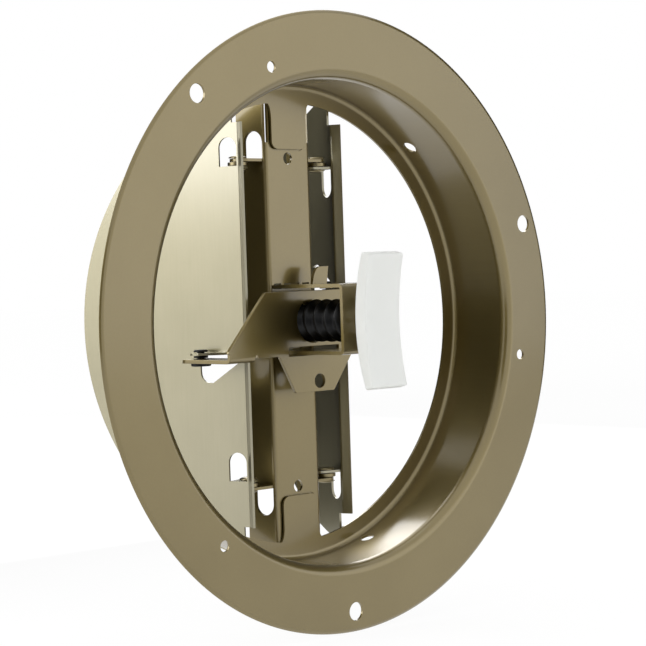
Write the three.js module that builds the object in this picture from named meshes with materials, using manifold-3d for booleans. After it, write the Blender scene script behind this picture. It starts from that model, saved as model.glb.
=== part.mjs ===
// Butterfly damper for a round ceiling duct, 8 inch size.
// Millimetres. Y is the duct axis and points into the duct, X is to the right seen from the room,
// Z is up along the bridge. The origin is the centre of the flange's front face.
// The blades are drawn as photographed, swung back from their closed place by restAngle.

import * as THREE from 'three';
import { mergeVertices } from 'three/addons/utils/BufferGeometryUtils.js';
import Module from 'manifold-3d';

const wasm = await Module();
wasm.setup();

// Driving dimensions of the collar: one drawn steel ring with a flange, a neck and a rear lip.
const neckRadius = 100;
const flangeWidth = 28;
const collarSheet = 1.0;
const collarDepth = 32.2;
const flangeEdgeDrop = 3.0;
const flangeEdgeRadius = 2.2;
const neckBendRadius = 4.5;
const lipBendRadius = 2.0;
const lipWidth = 7.2;
const bridgeTabHalfWidth = 9.9;
const bridgeTabReach = 19.7;
const bridgeTabCorner = 3.4;
const bridgeTabFillet = 4.2;
const screwHoleRadius = 3.8;
const screwHoleCircle = 119.6;
const screwHoleAngles = [19.2, 130, 270];
const pilotHoleRadius = 2.25;
const pilotHoleCircle = 110;
const pilotHoleAngles = [110, 230, 350];
const neckHoleRadius = 3.0;
const neckHoleSetback = 24.9;
const neckHoleAngles = [48, 168.5, 289];

// Driving dimensions of the bridge: a channel folded from sheet, open towards the duct.
const bridgeSheet = 1.2;
const bridgeWebWidth = 25.6;
const bridgeBendRadius = 2.0;
const bridgeWallDepth = 15.4;
const bridgeWallFlare = THREE.MathUtils.degToRad(8);
const bridgeOverlap = 3.7;
const bridgeTongueReach = 3.2;
const bridgeWallSlant = 3.1;
const bridgeSlitWidth = 3.0;
const bridgeSlitLength = 17.4;
const bridgeSlitDepth = 2.2;
const bridgeWebHoleRadius = 2.5;
const bridgeWebHoleInset = 27.2;

// Driving dimensions of the blades and of their hinges.
const bladeSheet = 1.0;
const bladeRim = 1;
const restAngle = THREE.MathUtils.degToRad(73);
const hingeHalfSpan = 22.6;
const hingeStandOff = 6.3;
const bladeEdgeInset = 3.6;
const bladeStiffenerWidth = 4.6;
const bladeStiffenerAngle = THREE.MathUtils.degToRad(40);
const bladeStiffenerBend = 1.0;
const bladeStiffenerSetback = 15;
const bladeEndNotch = 2.4;
const hingeTabWidth = 8.6;
const hingeTabShift = 1.0;
const hingeTabTip = 5.7;
const hingeTabSetback = 19;
const wallTabWidth = 9.6;
const wallTabTip = 2.8;
const hingeGap = 2.0;
const hingeShankRadius = 1.5;
const hingeHeadRadius = 3.1;
const hingeHeadHeight = 1.1;
const hingeSpacerRadius = 3.4;

// Driving dimensions of the link between a blade and the carriage.
const linkReach = 14.0;
const linkStandOff = 11.5;
const linkTabTop = -11;
const linkTabWidth = 15;
const linkTabStart = 2.6;
const linkTabLength = 12.3;
// Corners of the tab and of its window as shares: across, along, and corner radius.
const linkTabShares = [
  [0, 0, 0], [1, 0, 0], [1, 0.97, 0.4], [0.6, 0.97, 0.06], [0, 0.45, 0.12],
];
const linkWindowShares = [
  [-0.24, 0, 0], [1, 0, 0], [1, 0.97, 0.4], [0.6, 0.97, 0.06], [-0.24, 0.3, 0.05],
];
const linkShankRadius = 1.5;
const linkHeadRadius = 4.2;
const linkHeadHeight = 1.3;
const linkWasherRadius = 3.0;
const linkSnapRadius = 2.6;
const linkSnapHeight = 1.9;
const linkPinDrift = 0.5;

// Driving dimensions of the carriage: a stamped plate with two arms folded back.
const carriageSheet = 1.6;
const carriageFace = 20;
const carriageHalfHeight = 13.4;
const carriageShortReach = 26.6;
const carriageCorner = 1.4;
const carriageEndHeight = 3.2;
const armInnerMargin = 1.7;
const armOuterMargin = 5.2;
const armBackMargin = 3.6;
const armCorner = 5;
const armBendRadius = 2.4;
const armRelief = 1.3;
const spadeTopLeft = 19.6;
const spadeTopRight = 22.6;
const spadeBottomHalfWidth = 11;
const spadeDrop = 15.6;
const spadeHoleRadius = 3.0;
const spadeHoleShift = 2.8;
const spadeHoleDrop = 11.2;
const guideSlotHalfWidth = 14.5;
const guideSlotClearance = 0.7;
const guideSlotRise = 1.5;

// Driving dimensions of the guide bracket: a strip folded into a U on the front of the web.
const bracketSheet = 1.5;
const bracketWidth = 23;
const bracketTop = 16.1;
const bracketBottom = 12.9;
const bracketReach = 42;
const bracketBendRadius = 2.2;
const middleStakeWidth = 8.4;
const sideStakeWidth = 3.4;
const sideStakeOffset = 8.1;
const stakeSlotRise = 0.6;
const stakeStandOut = 1.2;
const earHeight = 7.2;
const earWidth = 8.2;
const earTipWidth = 4.2;
const earLean = 1.1;
const earSetback = 8;

// Driving dimensions of the worm, its washers and its nut.
const wormPitch = 6;
const wormRise = 0.8;
const wormCrestRadius = 8.9;
const wormThreadDepth = 2.5;
const wormJournalRadius = 3;
const wormWasherRadius = 7.5;
const wormWasherThickness = 1.0;
const wormFingerHalfAngle = THREE.MathUtils.degToRad(32);
const wormFingerDepth = 1.5;
const pushNutRadius = 6.5;
const pushNutThickness = 0.8;
const pushNutCrown = 1.6;
const wormTailLength = 3.4;

// Driving dimensions of the handle.
const handleWidth = 20;
const handleHeight = 56;
const handleThickness = 4.8;
const handleBow = 3.5;
const handleCorner = 1.2;
const handleHubRadius = 5.2;
const handleHubLength = 6.2;
const handlePinRadius = 1.0;
const wormStubDepth = 6.6;

// Clearances and one overrun for all cuts.
const seatGap = 0.3;
const runningGap = 0.4;
const overrun = 5;

// Sizes that follow from the driving dimensions.
const flangeRadius = neckRadius + flangeWidth;
const lipRadius = neckRadius - lipWidth;
const webFront = collarDepth + seatGap;
const webBack = webFront + bridgeSheet;
const bridgeHalfLength = lipRadius + bridgeOverlap;
const bridgeWallHalfLength = bridgeHalfLength - bridgeTongueReach;
const bladeRadius = neckRadius - bladeRim;
const bladeStiffenerHalfLength = bladeRadius - bladeStiffenerSetback;
const hingeTabHeight = bladeStiffenerHalfLength - hingeTabSetback;
const bladeClosedFace = collarDepth + runningGap;
const hingeDepth = bladeClosedFace + hingeStandOff;
const hingeHoleRadius = hingeShankRadius + seatGap;
const bladeTabTop = hingeTabHeight + bladeSheet;
const wallTabBottom = bladeTabTop + hingeGap;
const wallTabTop = wallTabBottom + bridgeSheet;
const bracketFront = webFront - bracketReach;
const plateBack = bracketFront + bracketSheet;
const wormHoleRadius = wormJournalRadius + runningGap;
const linkAngle = Math.atan2(linkStandOff, linkReach);
const linkRadius = Math.hypot(linkStandOff, linkReach);
const linkRestDepth = hingeDepth + linkRadius * Math.sin(restAngle - linkAngle);
const linkSlotCentre = hingeHalfSpan + linkRadius * (1 + Math.cos(linkAngle)) / 2;
const linkSlotHalfLength = linkRadius * (1 - Math.cos(linkAngle)) / 2 + linkShankRadius + runningGap;
const carriageLongReach = linkSlotCentre + linkSlotHalfLength + armOuterMargin;
const armInnerEdge = linkSlotCentre - linkSlotHalfLength - armInnerMargin;
const armBackEdge = linkRestDepth + armBackMargin;
const armTop = -carriageHalfHeight;
const armBottom = armTop - carriageSheet;
const bracketStakes = [
  [-sideStakeOffset, sideStakeWidth], [0, middleStakeWidth], [sideStakeOffset, sideStakeWidth],
];

// Materials, one a finish.
function finish(color, roughness, metalness) {
  return () => new THREE.MeshStandardMaterial({ color, roughness, metalness });
}
const bronzeEnamel = finish(0x97906f, 0.42, 0.55);
const paleEnamel = finish(0xa59f86, 0.4, 0.55);
const platedSteel = finish(0xa8a08a, 0.35, 0.9);
const blackPlastic = finish(0x17191b, 0.5, 0.0);
const whiteNylon = finish(0xe9ece8, 0.45, 0.0);

// Solids: closed three.js geometry goes in, manifold joins and cuts it, geometry comes back.
function solidOf(geometry) {
  const bare = geometry.clone();
  bare.deleteAttribute('normal');
  bare.deleteAttribute('uv');
  const merged = mergeVertices(bare, 1e-4);
  const triVerts = Uint32Array.from(merged.index.array);
  const vertProperties = Float32Array.from(merged.attributes.position.array);
  const solid = new wasm.Manifold(new wasm.Mesh({ numProp: 3, vertProperties, triVerts }));
  if (solid.volume() > 0) return solid;
  for (let i = 0; i < triVerts.length; i += 3) {
    const first = triVerts[i];
    triVerts[i] = triVerts[i + 1];
    triVerts[i + 1] = first;
  }
  return new wasm.Manifold(new wasm.Mesh({ numProp: 3, vertProperties, triVerts }));
}

function geometryOf(solid) {
  const mesh = solid.getMesh();
  const position = new Float32Array(mesh.numVert * 3);
  for (let i = 0; i < mesh.numVert; i++) {
    for (let k = 0; k < 3; k++) {
      position[i * 3 + k] = mesh.vertProperties[i * mesh.numProp + k];
    }
  }
  const geometry = new THREE.BufferGeometry();
  geometry.setAttribute('position', new THREE.BufferAttribute(position, 3));
  geometry.setIndex(new THREE.BufferAttribute(Uint32Array.from(mesh.triVerts), 1));
  geometry.computeVertexNormals();
  return geometry;
}

function nodeOf(name, solid, material) {
  const node = new THREE.Mesh(geometryOf(solid), material());
  node.name = name;
  return node;
}

// Flat shapes. Each prism is drawn in two axes and runs along the third from low to high.
const prismTurns = {
  // shape x, y to world X, Y and along Z
  Z: new THREE.Matrix4(),
  // shape x, y to world X, Z and along Y
  Y: new THREE.Matrix4().makeBasis(
    new THREE.Vector3(1, 0, 0), new THREE.Vector3(0, 0, 1), new THREE.Vector3(0, 1, 0)),
  // shape x, y to world Y, Z and along X
  X: new THREE.Matrix4().makeBasis(
    new THREE.Vector3(0, 1, 0), new THREE.Vector3(0, 0, 1), new THREE.Vector3(1, 0, 0)),
};

function prism(shape, along, low, high, curveSegments = 6) {
  const geometry = new THREE.ExtrudeGeometry(
    shape, { depth: high - low, bevelEnabled: false, curveSegments });
  geometry.translate(0, 0, low);
  geometry.applyMatrix4(prismTurns[along]);
  return solidOf(geometry);
}

function polygon(points) {
  return new THREE.Shape(points.map(([x, y]) => new THREE.Vector2(x, y)));
}

function rectangle(left, right, bottom, top) {
  return polygon([[left, bottom], [right, bottom], [right, top], [left, top]]);
}

// A polygon whose corners are rounded, each with its own radius.
function roundedPolygon(corners) {
  const shape = new THREE.Shape();
  corners.forEach(([x, y, radius], i) => {
    const before = corners[(i + corners.length - 1) % corners.length];
    const after = corners[(i + 1) % corners.length];
    const corner = new THREE.Vector2(x, y);
    const toBefore = new THREE.Vector2(before[0], before[1]).sub(corner).normalize();
    const toAfter = new THREE.Vector2(after[0], after[1]).sub(corner).normalize();
    const half = toBefore.angleTo(toAfter) / 2;
    const cut = radius / Math.tan(half);
    const start = corner.clone().addScaledVector(toBefore, cut);
    const end = corner.clone().addScaledVector(toAfter, cut);
    if (i === 0) shape.moveTo(start.x, start.y);
    else shape.lineTo(start.x, start.y);
    if (radius > 0) shape.quadraticCurveTo(corner.x, corner.y, end.x, end.y);
  });
  shape.closePath();
  return shape;
}

// A rounded outline from a table of shares of a width and a length.
function sharedOutline(table, left, base, width, length) {
  return roundedPolygon(table.map(([across, along, radius]) => (
    [left + across * width, base + along * length, radius * Math.abs(length)])));
}

function disc(x, y, radius) {
  const shape = new THREE.Shape();
  shape.absarc(x, y, radius, 0, 2 * Math.PI);
  return shape;
}

// The section of a bent sheet, drawn as its bend table: straight runs and arcs along one face.
// side is 1 where the metal lies left of the way the table runs, and -1 where it lies right.
function bentSection(start, heading, side, sheet, steps, arcSteps = 4) {
  const face = [];
  const back = [];
  let x = start[0];
  let y = start[1];
  let angle = heading;
  const put = () => {
    face.push([x, y]);
    back.push([x - side * sheet * Math.sin(angle), y + side * sheet * Math.cos(angle)]);
  };
  put();
  for (const step of steps) {
    if (step.run !== undefined) {
      x += step.run * Math.cos(angle);
      y += step.run * Math.sin(angle);
      put();
      continue;
    }
    const turn = Math.sign(step.turn);
    const centreX = x - turn * step.radius * Math.sin(angle);
    const centreY = y + turn * step.radius * Math.cos(angle);
    const first = angle;
    for (let i = 1; i <= arcSteps; i++) {
      angle = first + step.turn * i / arcSteps;
      x = centreX + turn * step.radius * Math.sin(angle);
      y = centreY - turn * step.radius * Math.cos(angle);
      put();
    }
  }
  return face.concat(back.reverse());
}

// A round piece: half outline points [radius, height] turned about an axis.
function turned(outline, segments, along, [x, y, z]) {
  const closed = outline.concat([outline[0]]);
  const geometry = new THREE.LatheGeometry(closed.map(([r, h]) => new THREE.Vector2(r, h)), segments);
  if (along === 'Z') geometry.rotateX(Math.PI / 2);
  geometry.translate(x, y, z);
  return solidOf(geometry);
}

function joinAll(solids) {
  return solids.reduce((sum, solid) => sum.add(solid));
}

function cutAll(solid, cuts) {
  return cuts.reduce((rest, cut) => rest.subtract(cut), solid);
}

// Collar: the section of the drawn sheet is turned about the duct axis.
function collarSolid() {
  const quarter = Math.PI / 2;
  const flatRun = flangeWidth - flangeEdgeRadius - neckBendRadius;
  const lipFace = collarDepth - collarSheet;
  const section = bentSection([flangeRadius, flangeEdgeDrop], -quarter, -1, collarSheet, [
    { run: flangeEdgeDrop - flangeEdgeRadius },
    { turn: -quarter, radius: flangeEdgeRadius },
    { run: flatRun },
    { turn: -quarter, radius: neckBendRadius },
    { run: lipFace - neckBendRadius - lipBendRadius },
    { turn: quarter, radius: lipBendRadius },
    { run: lipWidth - lipBendRadius },
  ]);
  const ring = turned(section, 72, 'Y', [0, 0, 0]);
  const holes = [];
  for (const [angles, circle, radius] of [
    [screwHoleAngles, screwHoleCircle, screwHoleRadius],
    [pilotHoleAngles, pilotHoleCircle, pilotHoleRadius],
  ]) {
    for (const degrees of angles) {
      const a = THREE.MathUtils.degToRad(degrees);
      const hole = disc(circle * Math.cos(a), circle * Math.sin(a), radius);
      holes.push(prism(hole, 'Y', -overrun, overrun, 7));
    }
  }
  for (const degrees of neckHoleAngles) {
    const hole = prism(disc(neckHoleSetback, 0, neckHoleRadius), 'X', lipRadius, flangeRadius, 6);
    holes.push(hole.rotate([0, -degrees, 0]));
  }
  const tabs = [0, 180].map((degrees) => bridgeTab().rotate([0, degrees, 0]));
  return cutAll(joinAll([ring, ...tabs]), holes);
}

// One of the two tabs of the lip that carry the bridge, with filleted roots.
function bridgeTab() {
  const end = lipRadius - bridgeTabReach;
  const rootZ = (halfWidth) => Math.sqrt(lipRadius ** 2 - halfWidth ** 2) + collarSheet;
  const wide = bridgeTabHalfWidth + bridgeTabFillet;
  const shape = new THREE.Shape();
  shape.moveTo(-wide, rootZ(wide));
  shape.quadraticCurveTo(
    -bridgeTabHalfWidth, rootZ(bridgeTabHalfWidth), -bridgeTabHalfWidth, rootZ(0) - 2 * bridgeTabFillet);
  shape.lineTo(-bridgeTabHalfWidth, end + bridgeTabCorner);
  shape.quadraticCurveTo(-bridgeTabHalfWidth, end, -bridgeTabHalfWidth + bridgeTabCorner, end);
  shape.lineTo(bridgeTabHalfWidth - bridgeTabCorner, end);
  shape.quadraticCurveTo(bridgeTabHalfWidth, end, bridgeTabHalfWidth, end + bridgeTabCorner);
  shape.lineTo(bridgeTabHalfWidth, rootZ(0) - 2 * bridgeTabFillet);
  shape.quadraticCurveTo(bridgeTabHalfWidth, rootZ(bridgeTabHalfWidth), wide, rootZ(wide));
  shape.closePath();
  return prism(shape, 'Y', collarDepth - collarSheet, collarDepth);
}

// A tab lanced out of a sheet and folded square to it: [across, out] outline with a round end.
// It starts on the sheet's face at out = 0 and carries a hole at [0, reach].
function foldedTab(width, shift, reach, tip, holeRadius, low, high) {
  const outline = tabOutline(width, shift, reach + tip);
  const hole = prism(disc(0, reach, holeRadius), 'Z', low - overrun, high + overrun);
  return prism(outline, 'Z', low, high).subtract(hole);
}

function tabOutline(width, shift, length) {
  const shape = new THREE.Shape();
  const round = width / 2;
  shape.moveTo(shift - round, 0);
  shape.lineTo(shift - round, length - round);
  shape.absarc(shift, length - round, round, Math.PI, 0, true);
  shape.lineTo(shift + round, 0);
  shape.closePath();
  return shape;
}

// The window that such a tab leaves in its sheet: [across, up] with a round end.
function tabWindow(width, shift, length, along, low, high) {
  return prism(tabOutline(width, shift, length), along, low, high);
}

// Bridge: the folded channel, trimmed at both ends, with four lanced hinge tabs.
function bridgeSolid() {
  const bend = Math.PI / 2 - bridgeWallFlare;
  const flat = bridgeWebWidth - 2 * bridgeBendRadius * Math.tan(bend / 2);
  const bendLength = bridgeBendRadius * Math.tan(bend / 2);
  const wallRun = bridgeWallDepth - bendLength;
  const startX = -bridgeWebWidth / 2 - bridgeWallDepth * Math.sin(bridgeWallFlare);
  const startY = webFront + bridgeWallDepth * Math.cos(bridgeWallFlare);
  const section = bentSection([startX, startY], -bend, 1, bridgeSheet, [
    { run: wallRun },
    { turn: bend, radius: bridgeBendRadius },
    { run: flat },
    { turn: bend, radius: bridgeBendRadius },
    { run: wallRun },
  ]);
  const channel = prism(polygon(section), 'Z', -bridgeHalfLength, bridgeHalfLength);
  const wallBack = startY + overrun;
  const flatEdge = bridgeWebWidth / 2 - bendLength;
  const outer = bridgeWebWidth + bridgeWallDepth;
  const sides = [0, 180].map((degrees) => (solid) => solid.rotate([0, degrees, 0]));
  const cuts = [];
  for (const turn of sides) {
    // Past the walls only the flat tongue goes on behind the collar's tab.
    for (const side of [-1, 1]) {
      const edges = [side * flatEdge, side * outer].sort((a, b) => a - b);
      cuts.push(turn(prism(rectangle(...edges, webFront - overrun, wallBack), 'Z',
        bridgeWallHalfLength, bridgeHalfLength + overrun)));
    }
    // The wall's end is cut on a slant towards its back edge.
    const slant = polygon([
      [webFront + bridgeBendRadius, bridgeWallHalfLength],
      [wallBack, bridgeWallHalfLength - bridgeWallSlant],
      [wallBack, bridgeWallHalfLength + overrun],
      [webFront + bridgeBendRadius, bridgeWallHalfLength + overrun],
    ]);
    cuts.push(turn(prism(slant, 'X', -outer, outer)));
    // A round hole at each end of the web.
    const webHole = disc(0, bridgeHalfLength - bridgeWebHoleInset, bridgeWebHoleRadius);
    cuts.push(turn(prism(webHole, 'Y', webFront - overrun, webBack + overrun)));
  }
  // At the upper end a slit parts the tongue from each wall.
  for (const side of [-1, 1]) {
    const slit = [side * flatEdge, side * (flatEdge + bridgeSlitWidth)].sort((a, b) => a - b);
    cuts.push(prism(rectangle(...slit, webFront - overrun, webFront + bridgeSlitDepth), 'Z',
      bridgeWallHalfLength - bridgeSlitLength, bridgeHalfLength));
  }
  // Slots for the guide bracket's stakes, at the bracket's own heights.
  for (const [middle, width] of bracketStakes) {
    for (const low of [bracketTop - bracketSheet, -bracketBottom]) {
      const half = width / 2 + seatGap;
      cuts.push(prism(rectangle(middle - half, middle + half, low - seatGap,
        low + bracketSheet + stakeSlotRise), 'Y', webFront - overrun, webBack + overrun));
    }
  }
  cuts.push(prism(disc(0, wormRise, wormHoleRadius), 'Y', webFront - overrun, webBack + overrun));

  // Hinge tabs are folded out of both walls, level with the hinge axes.
  const wallAt = bridgeWebWidth / 2 + (hingeDepth - webFront) * Math.tan(bridgeWallFlare);
  const tabReach = hingeHalfSpan - wallAt;
  const tabs = [];
  for (const turn of sides) {
    for (const up of [1, -1]) {
      const low = up > 0 ? wallTabBottom : -wallTabTop;
      const high = up > 0 ? wallTabTop : -wallTabBottom;
      const tab = foldedTab(wallTabWidth, 0, tabReach + bridgeSheet, wallTabTip,
        hingeHoleRadius, low, high);
      tabs.push(turn(tab.rotate([0, 0, 90]).translate([-wallAt + bridgeSheet, hingeDepth, 0])));
      const window = tabWindow(wallTabWidth, hingeDepth, tabReach + wallTabTip, 'X',
        -wallAt - overrun, -flatEdge);
      const placed = up > 0 ? window.translate([0, 0, wallTabTop])
        : window.mirror([0, 0, 1]).translate([0, 0, -wallTabTop]);
      cuts.push(turn(placed));
    }
  }
  return joinAll([cutAll(channel, cuts), ...tabs]);
}

// Guide bracket: a U that holds the worm's front end and guides the carriage.
function bracketSolid() {
  const quarter = Math.PI / 2;
  const legRun = bracketReach - bracketBendRadius;
  const section = bentSection([webFront - seatGap, bracketTop], Math.PI, 1, bracketSheet, [
    { run: legRun - seatGap },
    { turn: quarter, radius: bracketBendRadius },
    { run: bracketTop + bracketBottom - 2 * bracketBendRadius },
    { turn: quarter, radius: bracketBendRadius },
    { run: legRun - seatGap },
  ]);
  const half = bracketWidth / 2;
  const strap = prism(polygon(section), 'X', -half, half);
  const stakes = [];
  for (const [middle, width] of bracketStakes) {
    for (const low of [bracketTop - bracketSheet, -bracketBottom]) {
      const stake = rectangle(middle - width / 2, middle + width / 2, low, low + bracketSheet);
      stakes.push(prism(stake, 'Y', webFront - overrun, webBack + stakeStandOut));
    }
  }
  // The ear stands up from the top leg with a curved left edge and leans to the right.
  const earLeft = half - earWidth;
  const ear = new THREE.Shape();
  ear.moveTo(earLeft, bracketTop - bracketSheet);
  ear.lineTo(earLeft, bracketTop);
  ear.quadraticCurveTo(
    earLeft + earLean, bracketTop + earHeight, half + earLean - earTipWidth, bracketTop + earHeight);
  ear.lineTo(half + earLean, bracketTop + earHeight);
  ear.lineTo(half, bracketTop);
  ear.lineTo(half, bracketTop - bracketSheet);
  ear.closePath();
  const earBack = webFront - earSetback;
  const earSolid = prism(ear, 'Y', earBack - bracketSheet, earBack);
  const bore = prism(
    disc(0, wormRise, wormHoleRadius), 'Y', bracketFront - overrun, plateBack + overrun);
  return joinAll([strap, ...stakes, earSolid]).subtract(bore);
}

// Blade, drawn closed about its hinge: x runs out along the blade, y towards the room.
function bladeSolid() {
  const face = hingeStandOff;
  const back = face - bladeSheet;
  const edge = -bladeEdgeInset;
  const notchEdge = edge + bladeEndNotch;
  const notchHeight = Math.sqrt(bladeRadius ** 2 - (hingeHalfSpan + notchEdge) ** 2);
  const start = Math.atan2(notchHeight, hingeHalfSpan + notchEdge);
  const outline = new THREE.Shape();
  outline.moveTo(notchEdge, -notchHeight);
  outline.absarc(-hingeHalfSpan, 0, bladeRadius, -start, start);
  outline.lineTo(notchEdge, bladeStiffenerHalfLength);
  outline.lineTo(edge, bladeStiffenerHalfLength);
  outline.lineTo(edge, -bladeStiffenerHalfLength);
  outline.lineTo(notchEdge, -bladeStiffenerHalfLength);
  outline.closePath();
  const plate = prism(outline, 'Y', back, face, 40);

  const stiffener = bentSection([notchEdge, face], Math.PI, 1, bladeSheet, [
    { run: notchEdge - edge },
    { turn: -bladeStiffenerAngle, radius: bladeStiffenerBend },
    { run: bladeStiffenerWidth - bladeStiffenerBend },
  ]);
  const strip = prism(polygon(stiffener), 'Z', -bladeStiffenerHalfLength, bladeStiffenerHalfLength);

  const windows = [];
  const tabs = [];
  const windowLength = face + hingeTabTip;
  for (const low of [hingeTabHeight, -bladeTabTop]) {
    const window = tabWindow(
      hingeTabWidth, hingeTabShift, windowLength, 'Y', back - overrun, face + overrun);
    windows.push(window.translate([0, 0, low + bladeSheet]));
    const tab = foldedTab(hingeTabWidth, hingeTabShift, face, hingeTabTip, hingeHoleRadius,
      -low - bladeSheet, -low);
    tabs.push(tab.rotate([180, 0, 0]).translate([0, face, 0]));
  }

  // The link tab is folded out level with the arm, and leaves the window the arm works in.
  const windowTop = linkTabTop - bladeSheet;
  const window = sharedOutline(linkWindowShares, linkTabStart, windowTop, linkTabWidth, -linkTabLength);
  windows.push(prism(window, 'Y', back - overrun, face + overrun));
  const linkTab = sharedOutline(linkTabShares, linkTabStart, back, linkTabWidth, linkTabLength);
  const linkHole = prism(disc(linkReach, linkStandOff, linkShankRadius + seatGap), 'Z',
    linkTabTop - overrun, linkTabTop + overrun);
  tabs.push(prism(linkTab, 'Z', linkTabTop - bladeSheet, linkTabTop).subtract(linkHole));
  return joinAll([cutAll(plate.add(strip), windows), ...tabs]);
}

// Rivet with a low dome at each end, standing on the hinge axis.
function rivetSolid(low, high) {
  const head = hingeHeadHeight;
  const edge = head / 3;
  return turned([
    [0, low - head], [hingeHeadRadius * 0.6, low - head + edge / 2], [hingeHeadRadius, low - edge],
    [hingeHeadRadius, low], [hingeShankRadius, low], [hingeShankRadius, high],
    [hingeHeadRadius, high], [hingeHeadRadius, high + edge],
    [hingeHeadRadius * 0.6, high + head - edge / 2], [0, high + head],
  ], 14, 'Z', [0, 0, 0]);
}

function washerSolid(outer, inner, low, high, along, place, segments = 18) {
  return turned([[inner, low], [outer, low], [outer, high], [inner, high]], segments, along, place);
}

// Snap pin of the link: head under the arm, shank through its slot, split tip over the tab.
function linkPinSolid() {
  const head = armBottom - seatGap;
  const tip = linkTabTop + seatGap;
  return turned([
    [0, head - linkHeadHeight], [linkHeadRadius * 0.8, head - linkHeadHeight],
    [linkHeadRadius, head - linkHeadHeight / 2], [linkHeadRadius, head],
    [linkShankRadius, head], [linkShankRadius, tip], [linkSnapRadius, tip],
    [linkSnapRadius, tip + linkSnapHeight / 3], [linkShankRadius, tip + linkSnapHeight],
    [0, tip + linkSnapHeight],
  ], 16, 'Z', [linkReach, linkStandOff, 0]);
}

// One blade with what swings with it, and the fixed rivets and spacers of its hinge.
function bladeSide(side) {
  const group = new THREE.Group();
  const hinge = new THREE.Group();
  hinge.position.set(-hingeHalfSpan, hingeDepth, 0);
  group.add(hinge);
  const swing = new THREE.Group();
  swing.rotation.z = Math.PI - restAngle;
  hinge.add(swing);
  swing.add(nodeOf(`${side}_blade`, bladeSolid(), paleEnamel));
  swing.add(nodeOf(`${side}_link_pin`, linkPinSolid(), blackPlastic));
  const washerLow = armTop + seatGap;
  const washerHigh = linkTabTop - bladeSheet - seatGap;
  swing.add(nodeOf(`${side}_link_washer`, washerSolid(linkWasherRadius, linkShankRadius + seatGap,
    washerLow, washerHigh, 'Z', [linkReach, linkStandOff, 0]), blackPlastic));
  for (const [end, up] of [['top', 1], ['bottom', -1]]) {
    const heights = [up * (hingeTabHeight - seatGap), up * (wallTabTop + seatGap)].sort((a, b) => a - b);
    hinge.add(nodeOf(`${side}_hinge_rivet_${end}`, rivetSolid(...heights), platedSteel));
    const spacer = [up * (bladeTabTop + seatGap), up * (wallTabBottom - seatGap)].sort((a, b) => a - b);
    hinge.add(nodeOf(`${side}_hinge_spacer_${end}`, washerSolid(hingeSpacerRadius,
      hingeHoleRadius, ...spacer, 'Z', [0, 0, 0]), platedSteel));
  }
  if (side === 'right') group.rotation.y = Math.PI;
  return group;
}

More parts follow.
